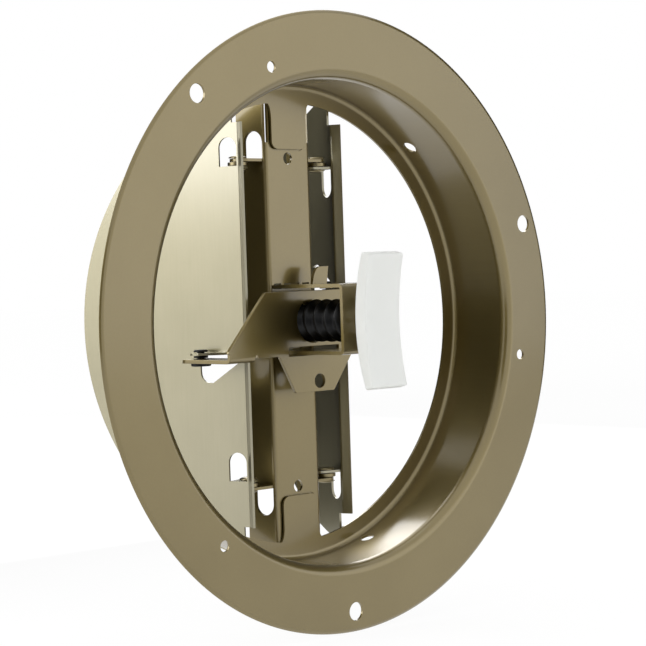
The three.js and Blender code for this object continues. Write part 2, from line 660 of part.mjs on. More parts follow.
// Carriage: the stamped plate, seen from the room, and its two arms folded back.
function carriageSolid() {
  const h = carriageHalfHeight;
  const body = roundedPolygon([
    [-carriageShortReach, h, carriageCorner],
    [-carriageLongReach, -h + carriageEndHeight, carriageCorner],
    [-carriageLongReach, -h, 0],
    [-spadeTopLeft, -h, carriageCorner],
    [-spadeBottomHalfWidth, -h - spadeDrop, carriageCorner],
    [spadeBottomHalfWidth, -h - spadeDrop, carriageCorner],
    [spadeTopRight, -h, carriageCorner],
    [carriageShortReach, -h, carriageCorner],
    [carriageLongReach, h - carriageEndHeight, carriageCorner],
    [carriageLongReach, h, 0],
  ]);
  const back = carriageFace + carriageSheet;
  const plate = prism(body, 'Y', carriageFace, back);
  const crest = wormCrestRadius + runningGap;
  const finger = wormCrestRadius - wormThreadDepth + wormFingerDepth - runningGap;
  const bore = new THREE.Shape();
  const top = Math.PI / 2;
  bore.absarc(
    0, wormRise, crest, top + wormFingerHalfAngle, top - wormFingerHalfAngle + 2 * Math.PI);
  bore.absarc(0, wormRise, finger, top - wormFingerHalfAngle, top + wormFingerHalfAngle);
  bore.closePath();
  const slotLow = -bracketBottom - guideSlotClearance;
  const slotHigh = -bracketBottom + bracketSheet + guideSlotRise;
  const slot = rectangle(-guideSlotHalfWidth, guideSlotHalfWidth, slotLow, slotHigh);
  const cuts = [bore, slot, disc(spadeHoleShift, -h - spadeHoleDrop, spadeHoleRadius)];
  const front = carriageFace - overrun;
  let solid = cutAll(plate, cuts.map((cut) => prism(cut, 'Y', front, back + overrun, 9)));

  // Each arm is one bend table, drawn across the duct axis and cut to its outline from above.
  const foldStart = armTop + carriageSheet + armBendRadius;
  const armSection = bentSection([carriageFace, foldStart], -Math.PI / 2, 1, carriageSheet, [
    { run: foldStart - armBottom - armBendRadius },
    { turn: Math.PI / 2, radius: armBendRadius },
    { run: armBackEdge - carriageFace - armBendRadius },
  ]);
  const armOuterEdge = carriageLongReach - carriageCorner / 2;
  const blank = prism(polygon(armSection), 'X', -armOuterEdge, -armInnerEdge);
  const plan = roundedPolygon([
    [-armOuterEdge, carriageFace - overrun, 0],
    [-armInnerEdge, carriageFace - overrun, 0],
    [-armInnerEdge, armBackEdge, armCorner],
    [-armOuterEdge, armBackEdge, armCorner],
  ]);
  const slotHalf = linkSlotHalfLength;
  const slotBack = linkRestDepth + linkShankRadius + runningGap;
  const slotFront = linkRestDepth - linkPinDrift - linkShankRadius - runningGap;
  const slotRound = (slotBack - slotFront) / 2.2;
  const linkSlot = roundedPolygon([
    [-linkSlotCentre - slotHalf, slotFront, slotRound],
    [-linkSlotCentre + slotHalf, slotFront, slotRound],
    [-linkSlotCentre + slotHalf, slotBack, slotRound],
    [-linkSlotCentre - slotHalf, slotBack, slotRound],
  ]);
  const arm = blank
    .intersect(prism(plan, 'Z', armBottom - overrun, h))
    .subtract(prism(linkSlot, 'Z', armBottom - overrun, armTop + overrun));
  // A small relief ends the fold beside the plate's lower edge.
  const reliefCorner = rectangle(
    -armInnerEdge, -armInnerEdge + armRelief, armTop - armRelief, armTop + armRelief);
  const relief = prism(reliefCorner, 'Y', front, back + overrun);
  // Under the fold the plate gives way to the bend.
  const fold = prism(rectangle(-carriageLongReach - overrun, -armInnerEdge, armTop - overrun, foldStart),
    'Y', front, back + overrun);
  for (const degrees of [0, 180]) {
    solid = solid.subtract(relief.rotate([0, degrees, 0]));
    solid = solid.subtract(fold.rotate([0, degrees, 0])).add(arm.rotate([0, degrees, 0]));
  }
  return solid;
}

// Worm: a round thread wound on a core, with a journal at each end and a cross hole for the pin.
function wormSolid() {
  const front = plateBack + wormWasherThickness + 2 * seatGap;
  const back = webFront - wormWasherThickness - 2 * seatGap;
  const middle = carriageFace + carriageSheet / 2;
  const around = 20;
  const stepLength = wormPitch / 8;
  const rings = Math.round((back - front) / stepLength);
  const mean = wormCrestRadius - wormThreadDepth / 2;
  const position = [];
  const index = [];
  for (let i = 0; i <= rings; i++) {
    const y = front + (back - front) * i / rings;
    for (let k = 0; k < around; k++) {
      const a = 2 * Math.PI * k / around;
      // A right-hand thread, whose groove is on top where the carriage's finger reaches in.
      const phase = a - Math.PI / 2 + 2 * Math.PI * (y - middle) / wormPitch;
      const r = mean - wormThreadDepth / 2 * Math.cos(phase);
      position.push(r * Math.cos(a), y, r * Math.sin(a));
    }
  }
  const frontHub = position.push(0, front, 0) / 3 - 1;
  const backHub = position.push(0, back, 0) / 3 - 1;
  for (let k = 0; k < around; k++) {
    const next = (k + 1) % around;
    for (let i = 0; i < rings; i++) {
      const a = i * around + k;
      const b = i * around + next;
      index.push(a, a + around, b, b, a + around, b + around);
    }
    index.push(frontHub, k, next);
    index.push(backHub, rings * around + next, rings * around + k);
  }
  const geometry = new THREE.BufferGeometry();
  geometry.setAttribute('position', new THREE.Float32BufferAttribute(position, 3));
  geometry.setIndex(index);
  const thread = solidOf(geometry);
  const tail = webBack + wormTailLength;
  const journal = turned([
    [0, bracketFront - wormStubDepth], [wormJournalRadius, bracketFront - wormStubDepth],
    [wormJournalRadius, tail], [0, tail],
  ], 16, 'Y', [0, 0, 0]);
  const pinHole = prism(disc(handlePinDepth(), 0, handlePinRadius + seatGap), 'X', -overrun, overrun);
  return thread.add(journal).subtract(pinHole);
}

function handlePinDepth() {
  return bracketFront - seatGap - handleHubLength / 2;
}

// Handle: a bowed bar on a short hub, hollow towards the room.
function handleSolid() {
  const hubFront = bracketFront - seatGap;
  const barBack = hubFront - handleHubLength;
  const halfHeight = handleHeight / 2;
  const bow = (halfHeight ** 2 + handleBow ** 2) / (2 * handleBow);
  const reach = Math.asin(halfHeight / bow);
  const bar = new THREE.Shape();
  bar.absarc(barBack - bow, 0, bow, -reach, reach);
  bar.absarc(barBack - bow, 0, bow - handleThickness, reach, -reach, true);
  bar.closePath();
  const half = handleWidth / 2;
  const outline = roundedPolygon([
    [-half, -halfHeight - overrun, 0], [half, -halfHeight - overrun, 0],
    [half, halfHeight + overrun, 0], [-half, halfHeight + overrun, 0],
  ]);
  const blank = prism(bar, 'X', -half, half, 20)
    .intersect(prism(outline, 'Y', barBack - bow, hubFront));
  const hub = turned([
    [0, barBack - handleThickness / 2], [handleHubRadius, barBack - handleThickness / 2],
    [handleHubRadius, hubFront - handleCorner], [handleHubRadius - handleCorner, hubFront],
    [0, hubFront],
  ], 24, 'Y', [0, 0, 0]);
  const socketDepth = bracketFront - wormStubDepth - seatGap;
  const socket = prism(disc(0, 0, wormJournalRadius + seatGap), 'Y', socketDepth, hubFront + overrun);
  const pinHole = prism(disc(handlePinDepth(), 0, handlePinRadius + seatGap), 'X',
    -handleHubRadius - overrun, handleHubRadius + overrun);
  return blank.add(hub).subtract(socket).subtract(pinHole);
}

function handlePinSolid() {
  const half = handleHubRadius - seatGap;
  return prism(disc(handlePinDepth(), 0, handlePinRadius), 'X', -half, half, 5);
}

// Push nut behind the web: a dished ring on the worm's tail.
function pushNutSolid() {
  const base = webBack + seatGap;
  const inner = wormJournalRadius + seatGap;
  return turned([
    [pushNutRadius, base], [pushNutRadius, base + pushNutThickness],
    [inner, base + pushNutThickness + pushNutCrown], [inner, base + pushNutCrown],
  ], 18, 'Y', [0, 0, 0]);
}

// The assembly.
const damper = new THREE.Group();
damper.add(nodeOf('collar_ring', collarSolid(), bronzeEnamel));
damper.add(nodeOf('bridge_channel', bridgeSolid(), bronzeEnamel));
damper.add(nodeOf('guide_bracket', bracketSolid(), bronzeEnamel));
damper.add(nodeOf('carriage_plate', carriageSolid(), bronzeEnamel));

// The worm, its washers, its nut and the handle lie on an axis a little above the duct's.
const spindle = new THREE.Group();
spindle.position.z = wormRise;
damper.add(spindle);
spindle.add(nodeOf('worm_screw', wormSolid(), blackPlastic));
for (const [name, low] of [
  ['worm_front_washer', plateBack + seatGap],
  ['worm_rear_washer', webFront - seatGap - wormWasherThickness],
]) {
  spindle.add(nodeOf(name, washerSolid(wormWasherRadius, wormJournalRadius + seatGap, low,
    low + wormWasherThickness, 'Y', [0, 0, 0], 20), whiteNylon));
}
spindle.add(nodeOf('worm_push_nut', pushNutSolid(), platedSteel));
spindle.add(nodeOf('handle', handleSolid(), whiteNylon));
spindle.add(nodeOf('handle_pin', handlePinSolid(), platedSteel));
damper.add(bladeSide('left'));
damper.add(bladeSide('right'));

export default damper;
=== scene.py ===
import math

import bpy
from bpy.props import FloatProperty, FloatVectorProperty, IntProperty, PointerProperty
from bpy.types import NodeSocket, Operator, Panel, PropertyGroup
from mathutils import Matrix, Vector


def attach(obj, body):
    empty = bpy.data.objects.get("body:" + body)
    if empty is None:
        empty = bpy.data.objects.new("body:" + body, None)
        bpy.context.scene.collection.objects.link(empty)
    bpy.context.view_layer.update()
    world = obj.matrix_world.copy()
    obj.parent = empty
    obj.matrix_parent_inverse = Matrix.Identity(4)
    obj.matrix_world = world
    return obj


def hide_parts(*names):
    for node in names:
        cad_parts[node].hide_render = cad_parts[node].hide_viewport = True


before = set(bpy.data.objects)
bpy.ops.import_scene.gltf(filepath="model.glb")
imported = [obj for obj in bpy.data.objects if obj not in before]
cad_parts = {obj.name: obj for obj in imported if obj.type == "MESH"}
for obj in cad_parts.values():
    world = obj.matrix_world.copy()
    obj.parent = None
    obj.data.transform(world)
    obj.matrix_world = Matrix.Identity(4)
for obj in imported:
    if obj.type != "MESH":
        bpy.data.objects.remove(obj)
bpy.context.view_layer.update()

bl_info = {
    "name": "Duct butterfly damper",
    "version": (1, 0, 0),
    "blender": (4, 5, 0),
    "location": "View3D > Sidebar > Damper",
    "description": "Builds a round duct damper with two blades, a worm and a handle",
    "category": "Add Mesh",
}

X, Y, Z = Vector((1, 0, 0)), Vector((0, 1, 0)), Vector((0, 0, 1))
QUARTER = math.pi / 2
# The duct's axis is Y, and a half turn about it carries the left or upper half to the other one.
HALF_TURN = Matrix.Rotation(math.pi, 4, 'Y')
BOTH = (Matrix.Identity(4), HALF_TURN)
# How far a cutter reaches past what it cuts, the gap between touching pieces, and the distance
# below which two points are one.
SPARE = 0.005
GAP = 0.0003
SAME = 1e-6
# Where the collar's holes lie round its axis, in degrees.
SCREW_ANGLES = (19.2, 130, 270)
PILOT_ANGLES = (110, 230, 350)
NECK_ANGLES = (48, 168.5, 289)


# Sizes and colours

def size(text, millimetres):
    """A length that the user can change, given in millimetres and kept in metres."""
    return FloatProperty, {"description": text, "default": millimetres / 1000, "unit": 'LENGTH',
                           "precision": 5}


def tilt(text, degrees):
    return FloatProperty, {"description": text, "default": math.radians(degrees),
                           "subtype": 'ANGLE'}


def amount(text, value, unit='NONE'):
    return FloatProperty, {"description": text, "default": value, "unit": unit}


def tint(text, hex_value):
    return FloatVectorProperty, {"description": text, "default": linear(hex_value),
                                 "subtype": 'COLOR', "size": 4, "min": 0, "max": 1}


def linear(hex_value):
    """An sRGB hex value as the linear colour that a shader takes."""
    channels = [int(hex_value[i:i + 2], 16) / 255 for i in (1, 3, 5)]
    return tuple(c / 12.92 if c <= 0.04045 else ((c + 0.055) / 1.055) ** 2.4
                 for c in channels) + (1.0,)


def named(group):
    """Makes each row of a group a property that is named after its key."""
    group.__annotations__ = {key: kind(name=key.replace("_", " ").capitalize(), **row)
                             for key, (kind, row) in group.__annotations__.items()}
    return group


@named
class CollarSizes(PropertyGroup):
    neck: size("Inside radius of the neck", 100)
    flange: size("Radius of the flange's outer edge", 128)
    lip: size("Radius of the rear lip's inner edge", 92.8)
    depth: size("Flange face to the back of the lip", 32.2)
    sheet: size("Thickness of the drawn sheet", 1.0)
    edge_bend: size("Radius of the flange's turned edge", 2.4)
    edge_turn: tilt("How far the flange's edge is turned back", 50)
    neck_bend: size("Radius between flange and neck", 4.5)
    lip_bend: size("Radius between neck and lip", 2.0)
    screw_hole: size("Radius of the three large holes", 3.8)
    screw_circle: size("Radius on which the large holes lie", 119.6)
    pilot_hole: size("Radius of the three small holes", 2.25)
    pilot_circle: size("Radius on which the small holes lie", 110)
    neck_hole: size("Radius of the holes in the neck", 3.0)
    neck_hole_depth: size("Flange face to the neck holes", 24.9)
    tab_half: size("Half the width of the tabs that carry the bridge", 9.9)
    tab_reach: size("How far the tabs reach in from the lip", 19.7)
    tab_corner: size("Corner radius of the tabs", 3.4)
    tab_fillet: size("Fillet where a tab leaves the lip", 4.2)


@named
class BridgeSizes(PropertyGroup):
    sheet: size("Thickness of the channel", 1.2)
    width: size("Width of the web", 25.6)
    front: size("Depth of the web's front face", 32.5)
    wall: size("Depth of the walls", 15.4)
    bend: size("Outer radius of the two folds", 2.0)
    flare: tilt("How far the walls lean outwards", 8)
    half: size("Half the length with its tongues", 96.5)
    wall_half: size("Half the length of the walls", 93.3)
    wall_slant: size("How much shorter the walls are at the back", 3.1)
    slit: size("Width of the slits beside the upper tongue", 1.2)
    slit_length: size("How far those slits run down", 17.4)
    slit_depth: size("How far they run back into the walls", 2.2)
    seam: size("Width of the pressed groove round the collar's tabs", 0.7)
    seam_depth: size("Depth of that groove", 0.5)
    hole: size("Radius of the two round holes", 2.5)
    hole_height: size("Height of the round holes", 69.3)


@named
class HingeSizes(PropertyGroup):
    across: size("Distance of a hinge from the middle", 22.6)
    depth: size("Depth of the hinges", 38.9)
    width: size("Width of the blades' hinge tabs", 8.6)
    shift: size("How far such a tab's middle lies off its hole", 1.0)
    tip: size("From the hole to the end of a blade's tab", 5.7)
    wall_width: size("Width of the tabs on the walls", 9.6)
    wall_tip: size("From the hole to the end of a wall's tab", 2.8)
    blade_low: size("Height of the blade tabs' near face", 65)
    wall_low: size("Height of the wall tabs' near face", 68)
    hole: size("Radius of the rivet holes", 1.8)
    shank: size("Radius of the rivets", 1.5)
    head: size("Radius of the rivets' heads", 3.8)
    head_height: size("Height of the rivets' heads", 1.1)
    spacer: size("Radius of the spacers", 4.2)


@named
class BladeSizes(PropertyGroup):
    sheet: size("Thickness of the blades", 1.0)
    radius: size("Radius of the closed blades about the duct's axis", 99)
    stand_off: size("Hinge to the blade's face", 6.3)
    inset: size("How far the straight edge lies behind the hinge", 3.6)
    strip: size("Width of the bent edge", 4.6)
    strip_half: size("Half the length of the bent edge", 84)
    strip_bend: size("Radius of the bent edge's fold", 1.0)
    notch: size("Depth of the notches past the bent edge", 2.4)
    strip_angle: tilt("How far the edge is bent", 40)
    rest: tilt("How far the blades stand open", 73)


@named
class LinkSizes(PropertyGroup):
    reach: size("Hinge to link pin, along the blade", 14.0)
    stand_off: size("Hinge to link pin, square to the blade", 11.5)
    top: size("Height of the link tab's face", -11)
    start: size("Where the link tab begins", 2.6)
    width: size("Width of the link tab", 15)
    length: size("Length of the link tab", 12.3)
    shank: size("Radius of the link pin", 1.5)
    head: size("Radius of the link pin's head", 4.2)
    head_height: size("Height of that head", 1.3)
    washer: size("Radius of the link washer", 3.0)
    snap: size("Radius of the pin's split tip", 3.0)
    snap_height: size("Height of the split tip", 1.0)


@named
class CarriageSizes(PropertyGroup):
    sheet: size("Thickness of the carriage", 1.6)
    face: size("Depth of the front face", 20)
    half_height: size("Half the plate's height", 13.4)
    short: size("Reach of the shorter edge", 26.6)
    long: size("Reach of the longer edge", 47.82)
    end_height: size("Height of the plate's upright ends", 3.2)
    corner: size("Radius of the plate's corners", 1.4)
    arm_inner: size("Distance of an arm from the middle", 33.0)
    arm_back: size("Depth of an arm's end", 52.53)
    arm_corner: size("Corner radius of an arm's end", 5)
    arm_bend: size("Radius of an arm's fold", 2.4)
    relief: size("Size of the relief beside the fold", 1.3)
    slot_centre: size("Distance of the pin slot from the middle", 38.66)
    slot_half: size("Half the pin slot's length", 3.96)
    slot_front: size("Front edge of the pin slot", 46.53)
    slot_back: size("Back edge of the pin slot", 50.83)
    spade_left: size("Where the spade begins on the left", 19.6)
    spade_right: size("Where the spade begins on the right", 22.6)
    spade_bottom: size("Half the spade's width at its end", 11)
    spade_drop: size("How far the spade hangs down", 15.6)
    spade_hole: size("Radius of the spade's hole", 3.0)
    spade_hole_shift: size("How far right of the middle that hole lies", 2.8)
    spade_hole_drop: size("How far that hole lies below the plate", 11.2)
    guide_half: size("Half the length of the slot for the bracket's leg", 14.5)
    guide_below: size("Room under the bracket's leg", 0.7)
    guide_above: size("Room above the bracket's leg", 1.5)
    bore: size("Radius of the bore for the worm", 9.3)
    finger: size("Radius to which the finger reaches in", 7.5)
    finger_angle: tilt("Half the angle that the finger takes", 32)


@named
class BracketSizes(PropertyGroup):
    sheet: size("Thickness of the bracket", 1.5)
    width: size("Width of the bracket", 23)
    top: size("Height of the upper leg", 16.1)
    bottom: size("How far down the lower leg lies", 12.9)
    front: size("Depth of the front face", -9.5)
    bend: size("Outer radius of the folds", 2.2)
    stake_middle: size("Width of the middle stakes", 8.4)
    stake_side: size("Width of the side stakes", 3.4)
    stake_offset: size("Distance of the side stakes from the middle", 8.1)
    stake_out: size("How far the stakes stand out of the web", 1.2)
    slot_rise: size("Room above the stakes in their slots", 0.6)
    ear_height: size("Height of the ear above the leg", 7.2)
    ear_width: size("Width of the ear's foot", 8.2)
    ear_tip: size("Width of the ear's top", 4.2)
    ear_lean: size("How far the ear leans to the right", 1.1)
    ear_setback: size("Web to the ear's back", 8)

    def stakes(self):
        """The left and right side of each stake, and the low side of the leg that it is on."""
        return [(middle - width / 2, middle + width / 2, low)
                for middle, width in ((-self.stake_offset, self.stake_side),
                                      (0, self.stake_middle), (self.stake_offset, self.stake_side))
                for low in (self.top - self.sheet, -self.bottom)]


@named
class WormSizes(PropertyGroup):
    pitch: size("Travel for one turn", 6)
    rise: size("How far the worm's axis lies above the duct's", 0.8)
    crest: size("Radius of the thread's crest", 8.9)
    depth: size("Crest to groove", 2.5)
    journal: size("Radius of the journals", 3)
    bore: size("Radius of the holes for the journals", 3.4)
    stub: size("How far the worm reaches into the handle", 6.6)
    tail: size("How far the worm stands out behind the web", 3.4)
    washer: size("Radius of the thrust washers", 7.5)
    washer_sheet: size("Thickness of the thrust washers", 1.0)
    nut: size("Radius of the push nut", 6.5)
    nut_sheet: size("Thickness of the push nut", 0.8)
    nut_crown: size("How far the push nut is dished", 1.6)
    seat: size("Gap that touching pieces keep", 0.3)


@named
class HandleSizes(PropertyGroup):
    width: size("Width of the handle", 20)
    height: size("Height of the handle", 56)
    thickness: size("Thickness of the handle at its ends", 4.8)
    bow: size("How far the handle's front is bowed", 3.5)
    belly: size("How much deeper the back is bowed than the front", 1.5)
    rounding: size("Radius of the handle's edges", 0.9)
    hub: size("Radius of the hub", 5.2)
    hub_length: size("Length of the hub", 6.2)
    pin: size("Radius of the cross pin", 1.0)


@named
class Finishes(PropertyGroup):
    enamel: tint("Bronze enamel of the pressed parts", "#827345")
    enamel_deep: tint("Darker tone of that enamel", "#78693b")
    # The blades carry the same enamel as the pressed parts. Their two tones are a lighter, greyer
    # copy of it: a painted highlight for the bright light that the blades catch.
    blade: tint("The same enamel on the flat blades", "#989172")
    blade_deep: tint("Darker tone of the blades", "#8c8565")
    plated: tint("Rivets, spacers, push nut and cross pin", "#a89f86")
    worm: tint("Worm, link pins and link washers", "#08090b")
    nylon: tint("Handle and thrust washers", "#f7f9f6")
    floor: tint("Floor of the studio", "#f4f4f2")


@named
class StageSizes(PropertyGroup):
    distance: size("Camera to flange centre", 859.17)
    azimuth: tilt("How far the camera stands to the left", 43.955)
    elevation: tilt("How far the camera looks down", 1.691)
    roll: tilt("How far the camera leans", -1.862)
    shift_right: size("Camera's sideways shift", -9.87)
    shift_up: size("Camera's upward shift", -0.31)
    lens: amount("Focal length on a 36 mm sensor", 116.3, 'CAMERA')
    floor: size("Height of the floor", -128.5)
    floor_half: size("Half the floor's width", 6000)
    left: amount("Power of the softbox on the left", 16, 'POWER')
    front: amount("Power of the softbox in front", 1.8, 'POWER')
    top: amount("Power of the softbox above", 3, 'POWER')
    back: amount("Power of the softbox behind", 6, 'POWER')
    sky: amount("Strength of the room's light", 0.8)


def sizes(*names):
    """The scene's groups of sizes and colours, by their names."""
    return [getattr(bpy.context.scene, f"damper_{name}") for name in names]


# Modelling by hand, step by step

def deselect_all():
    if bpy.context.object and bpy.context.object.mode != 'OBJECT':
        leave()
    bpy.ops.object.select_all(action='DESELECT')


def pick(piece):
    deselect_all()
    piece.select_set(True)
    bpy.context.view_layer.objects.active = piece


def edit(action='SELECT'):
    bpy.ops.object.mode_set(mode='EDIT')
    bpy.ops.mesh.select_all(action=action)


def leave():
    bpy.ops.object.mode_set(mode='OBJECT')


def turn_outwards():
    """Makes all faces of the open mesh point outwards, and leaves edit mode."""
    bpy.ops.mesh.select_all(action='SELECT')
    bpy.ops.mesh.normals_make_consistent(inside=False)
    leave()


def trace(name, points, closed=True):
    """Draws a wire point by point and, where it is closed, fills it. It stays in edit mode."""
    deselect_all()
    points = [Vector(p) for p in points]
    bpy.ops.mesh.primitive_plane_add(size=0.001, location=points[0])
    piece = bpy.context.object
    piece.name = name
    bpy.ops.object.transform_apply()
    edit()
    bpy.ops.mesh.merge(type='CENTER')
    for before, point in zip(points, points[1:]):
        bpy.ops.mesh.extrude_region_move(TRANSFORM_OT_translate={"value": point - before})
    if closed:
        bpy.ops.mesh.select_all(action='SELECT')
        bpy.ops.mesh.edge_face_add()
    return piece


def prism(name, outline, along, low, high):
    """A flat outline pulled out from low to high. Along Y it is drawn in X and Z, and so on."""
    place = {'X': lambda a, b: (low, a, b), 'Y': lambda a, b: (a, low, b),
             'Z': lambda a, b: (a, b, low)}[along]
    piece = trace(name, [place(a, b) for a, b in outline])
    step = {'X': X, 'Y': Y, 'Z': Z}[along] * (high - low)
    bpy.ops.mesh.extrude_region_move(TRANSFORM_OT_translate={"value": step})
    turn_outwards()
    return piece


def turned(name, profile, axis, steps, ring=False):
    """A profile of (radius, height) spun about an axis. A ring's profile closes on itself."""
    points = [(r, h, 0) if axis == 'Y' else (r, 0, h) for r, h in profile]
    piece = trace(name, points, closed=False)
    if ring:
        leave()
        for vertex in piece.data.vertices:
            vertex.select = vertex.index in (0, len(points) - 1)
        bpy.ops.object.mode_set(mode='EDIT')
        bpy.ops.mesh.select_mode(type='VERT')
        bpy.ops.mesh.edge_face_add()
    bpy.ops.mesh.select_all(action='SELECT')
    bpy.ops.mesh.spin(steps=steps, angle=2 * math.pi, center=(0, 0, 0),
                      axis=Y if axis == 'Y' else Z)
    bpy.ops.mesh.select_all(action='SELECT')
    bpy.ops.mesh.remove_doubles(threshold=SAME)
    turn_outwards()
    return piece


def drill(radius, centre, along, length=2 * SPARE, vertices=40):
    """A round cutter or pin."""
    deselect_all()
    turn = {'X': (0, QUARTER, 0), 'Y': (QUARTER, 0, 0), 'Z': (0, 0, 0)}[along]
    bpy.ops.mesh.primitive_cylinder_add(vertices=vertices, radius=radius, depth=length,
                                        location=centre, rotation=turn)
    bpy.ops.object.transform_apply()
    return bpy.context.object


def move(piece, matrix):
    """Puts a piece elsewhere and keeps its place in its mesh."""
    pick(piece)
    piece.matrix_world = matrix
    bpy.ops.object.transform_apply()
    return piece


def twin(piece, matrix, name):
    """A copy with its own mesh, put elsewhere."""
    pick(piece)
    bpy.ops.object.duplicate(linked=False)
    copy = bpy.context.object
    copy.name = name
    copy.data.name = name
    return move(copy, matrix)


def modify(piece, kind, **settings):
    """Adds a modifier with its settings, and applies it."""
    pick(piece)
    step = piece.modifiers.new(kind.title(), kind)
    for key, value in settings.items():
        setattr(step, key, value)
    bpy.ops.object.modifier_apply(modifier=step.name)


def soften(piece, width, segments, angle):
    """Rounds the edges that are sharper than an angle in degrees."""
    modify(piece, 'BEVEL', width=width, segments=segments, limit_method='ANGLE',
           angle_limit=math.radians(angle))


def boolean(piece, tools, operation='DIFFERENCE'):
    for tool in tools:
        modify(piece, 'BOOLEAN', operation=operation, solver='EXACT', object=tool)
        bpy.data.objects.remove(tool)


def merge_flat(piece, belongs, level=0.5):
    """Takes out the seams between faces that are level within some degrees of each other, where
    the middle of the face belongs to a place."""
    pick(piece)
    bpy.ops.object.mode_set(mode='EDIT')
    bpy.ops.mesh.select_mode(type='FACE')
    bpy.ops.mesh.select_all(action='DESELECT')
    leave()
    for face in piece.data.polygons:
        face.select = belongs(face.center)
    bpy.ops.object.mode_set(mode='EDIT')
    bpy.ops.mesh.dissolve_limited(angle_limit=math.radians(level))
    bpy.ops.mesh.select_mode(type='VERT')
    leave()


def dress(piece, body, node, finish, edge=0.0002):
    """Breaks the edges, smooths the bends, and gives the piece its finish and its place in the
    object."""
    pick(piece)
    edit()
    bpy.ops.mesh.remove_doubles(threshold=2 * SAME)
    leave()
    if edge > 0:
        soften(piece, edge, segments=2, angle=40)
    bpy.ops.object.shade_smooth_by_angle(angle=math.radians(50))
    modify(piece, 'WEIGHTED_NORMAL', weight=90, keep_sharp=True)
    slot, name, draw, wishes = FINISHES[finish]
    piece.data.materials.clear()
    piece.data.materials.append(material(name, draw, **wishes))
    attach(piece, body)
    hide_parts(node)


# Flat shapes

def bent(start, heading, side, sheet, steps, arc_steps=8):
    """The section of a bent sheet from its bend table: ('run', length) or ('turn', angle, radius).
    The sheet's thickness lies on the left of its path for side 1, and on the right for -1."""
    face, back = [], []
    x, y = start
    angle = heading

    def put():
        face.append((x, y))
        back.append((x - side * sheet * math.sin(angle), y + side * sheet * math.cos(angle)))

    put()
    for step in steps:
        if step[0] == 'run':
            x += step[1] * math.cos(angle)
            y += step[1] * math.sin(angle)
            put()
            continue
        turn, radius = step[1:]
        sign = math.copysign(1, turn)
        centre = (x - sign * radius * math.sin(angle), y + sign * radius * math.cos(angle))
        first = angle
        for i in range(1, arc_steps + 1):
            angle = first + turn * i / arc_steps
            x = centre[0] + sign * radius * math.sin(angle)
            y = centre[1] - sign * radius * math.cos(angle)
            put()
    return face + back[::-1]


def rounded(corners, steps=6):
    """A polygon of (x, y, radius) with each corner rounded."""
    outline = []
    for i, (x, y, radius) in enumerate(corners):
        here = Vector((x, y))
        if radius <= 0:
            outline.append((x, y))
            continue
        before = (Vector(corners[i - 1][:2]) - here).normalized()
        after = (Vector(corners[(i + 1) % len(corners)][:2]) - here).normalized()
        reach = radius / math.tan(before.angle(after) / 2)
        for k in range(steps + 1):
            t = k / steps
            spot = ((here + before * reach) * (1 - t) ** 2 + here * 2 * t * (1 - t)
                    + (here + after * reach) * t ** 2)
            outline.append(tuple(spot))
    return outline


def rectangle(left, right, bottom, top):
    return [(left, bottom), (right, bottom), (right, top), (left, top)]


def arc(cx, cy, radius, start, end, steps):
    return [(cx + radius * math.cos(start + (end - start) * i / steps),
             cy + radius * math.sin(start + (end - start) * i / steps)) for i in range(steps + 1)]


def curve(a, b, c, steps):
    """Points from a to c on a curve that leaves a towards b and reaches c from b."""
    return [tuple((1 - t) ** 2 * p + 2 * t * (1 - t) * q + t ** 2 * r for p, q, r in zip(a, b, c))
            for t in (i / steps for i in range(steps + 1))]


def tongue(width, shift, length, steps=16):
    """A tab's outline: straight sides and a round end."""
    half = width / 2
    return ([(shift + half, 0)] + arc(shift, length - half, half, 0, math.pi, steps)
            + [(shift - half, 0)])


# Materials

def add(tree, kind, settings=None, values=None, links=None):
    """Adds a node with its settings, its socket values and its links. A link comes from a socket,
    or from a node's first output."""
    node = tree.nodes.new(f"ShaderNode{kind}")
    for key, value in (settings or {}).items():
        setattr(node, key, value)
    for key, value in (values or {}).items():
        node.inputs[key].default_value = value
    for key, source in (links or {}).items():
        socket = source if isinstance(source, NodeSocket) else source.outputs[0]
        tree.links.new(socket, node.inputs[key])
    return node


def material(name, draw, **wishes):
    """The material of that name, made once. What draws it gives back its shader."""
    made = bpy.data.materials.get(name)
    if made is None:
        made = bpy.data.materials.new(name)
        made.use_nodes = True
        tree = made.node_tree
        tree.nodes.clear()
        shader = draw(tree, bpy.context.scene.damper_finishes, **wishes)
        add(tree, 'OutputMaterial', links={'Surface': shader})
    return made


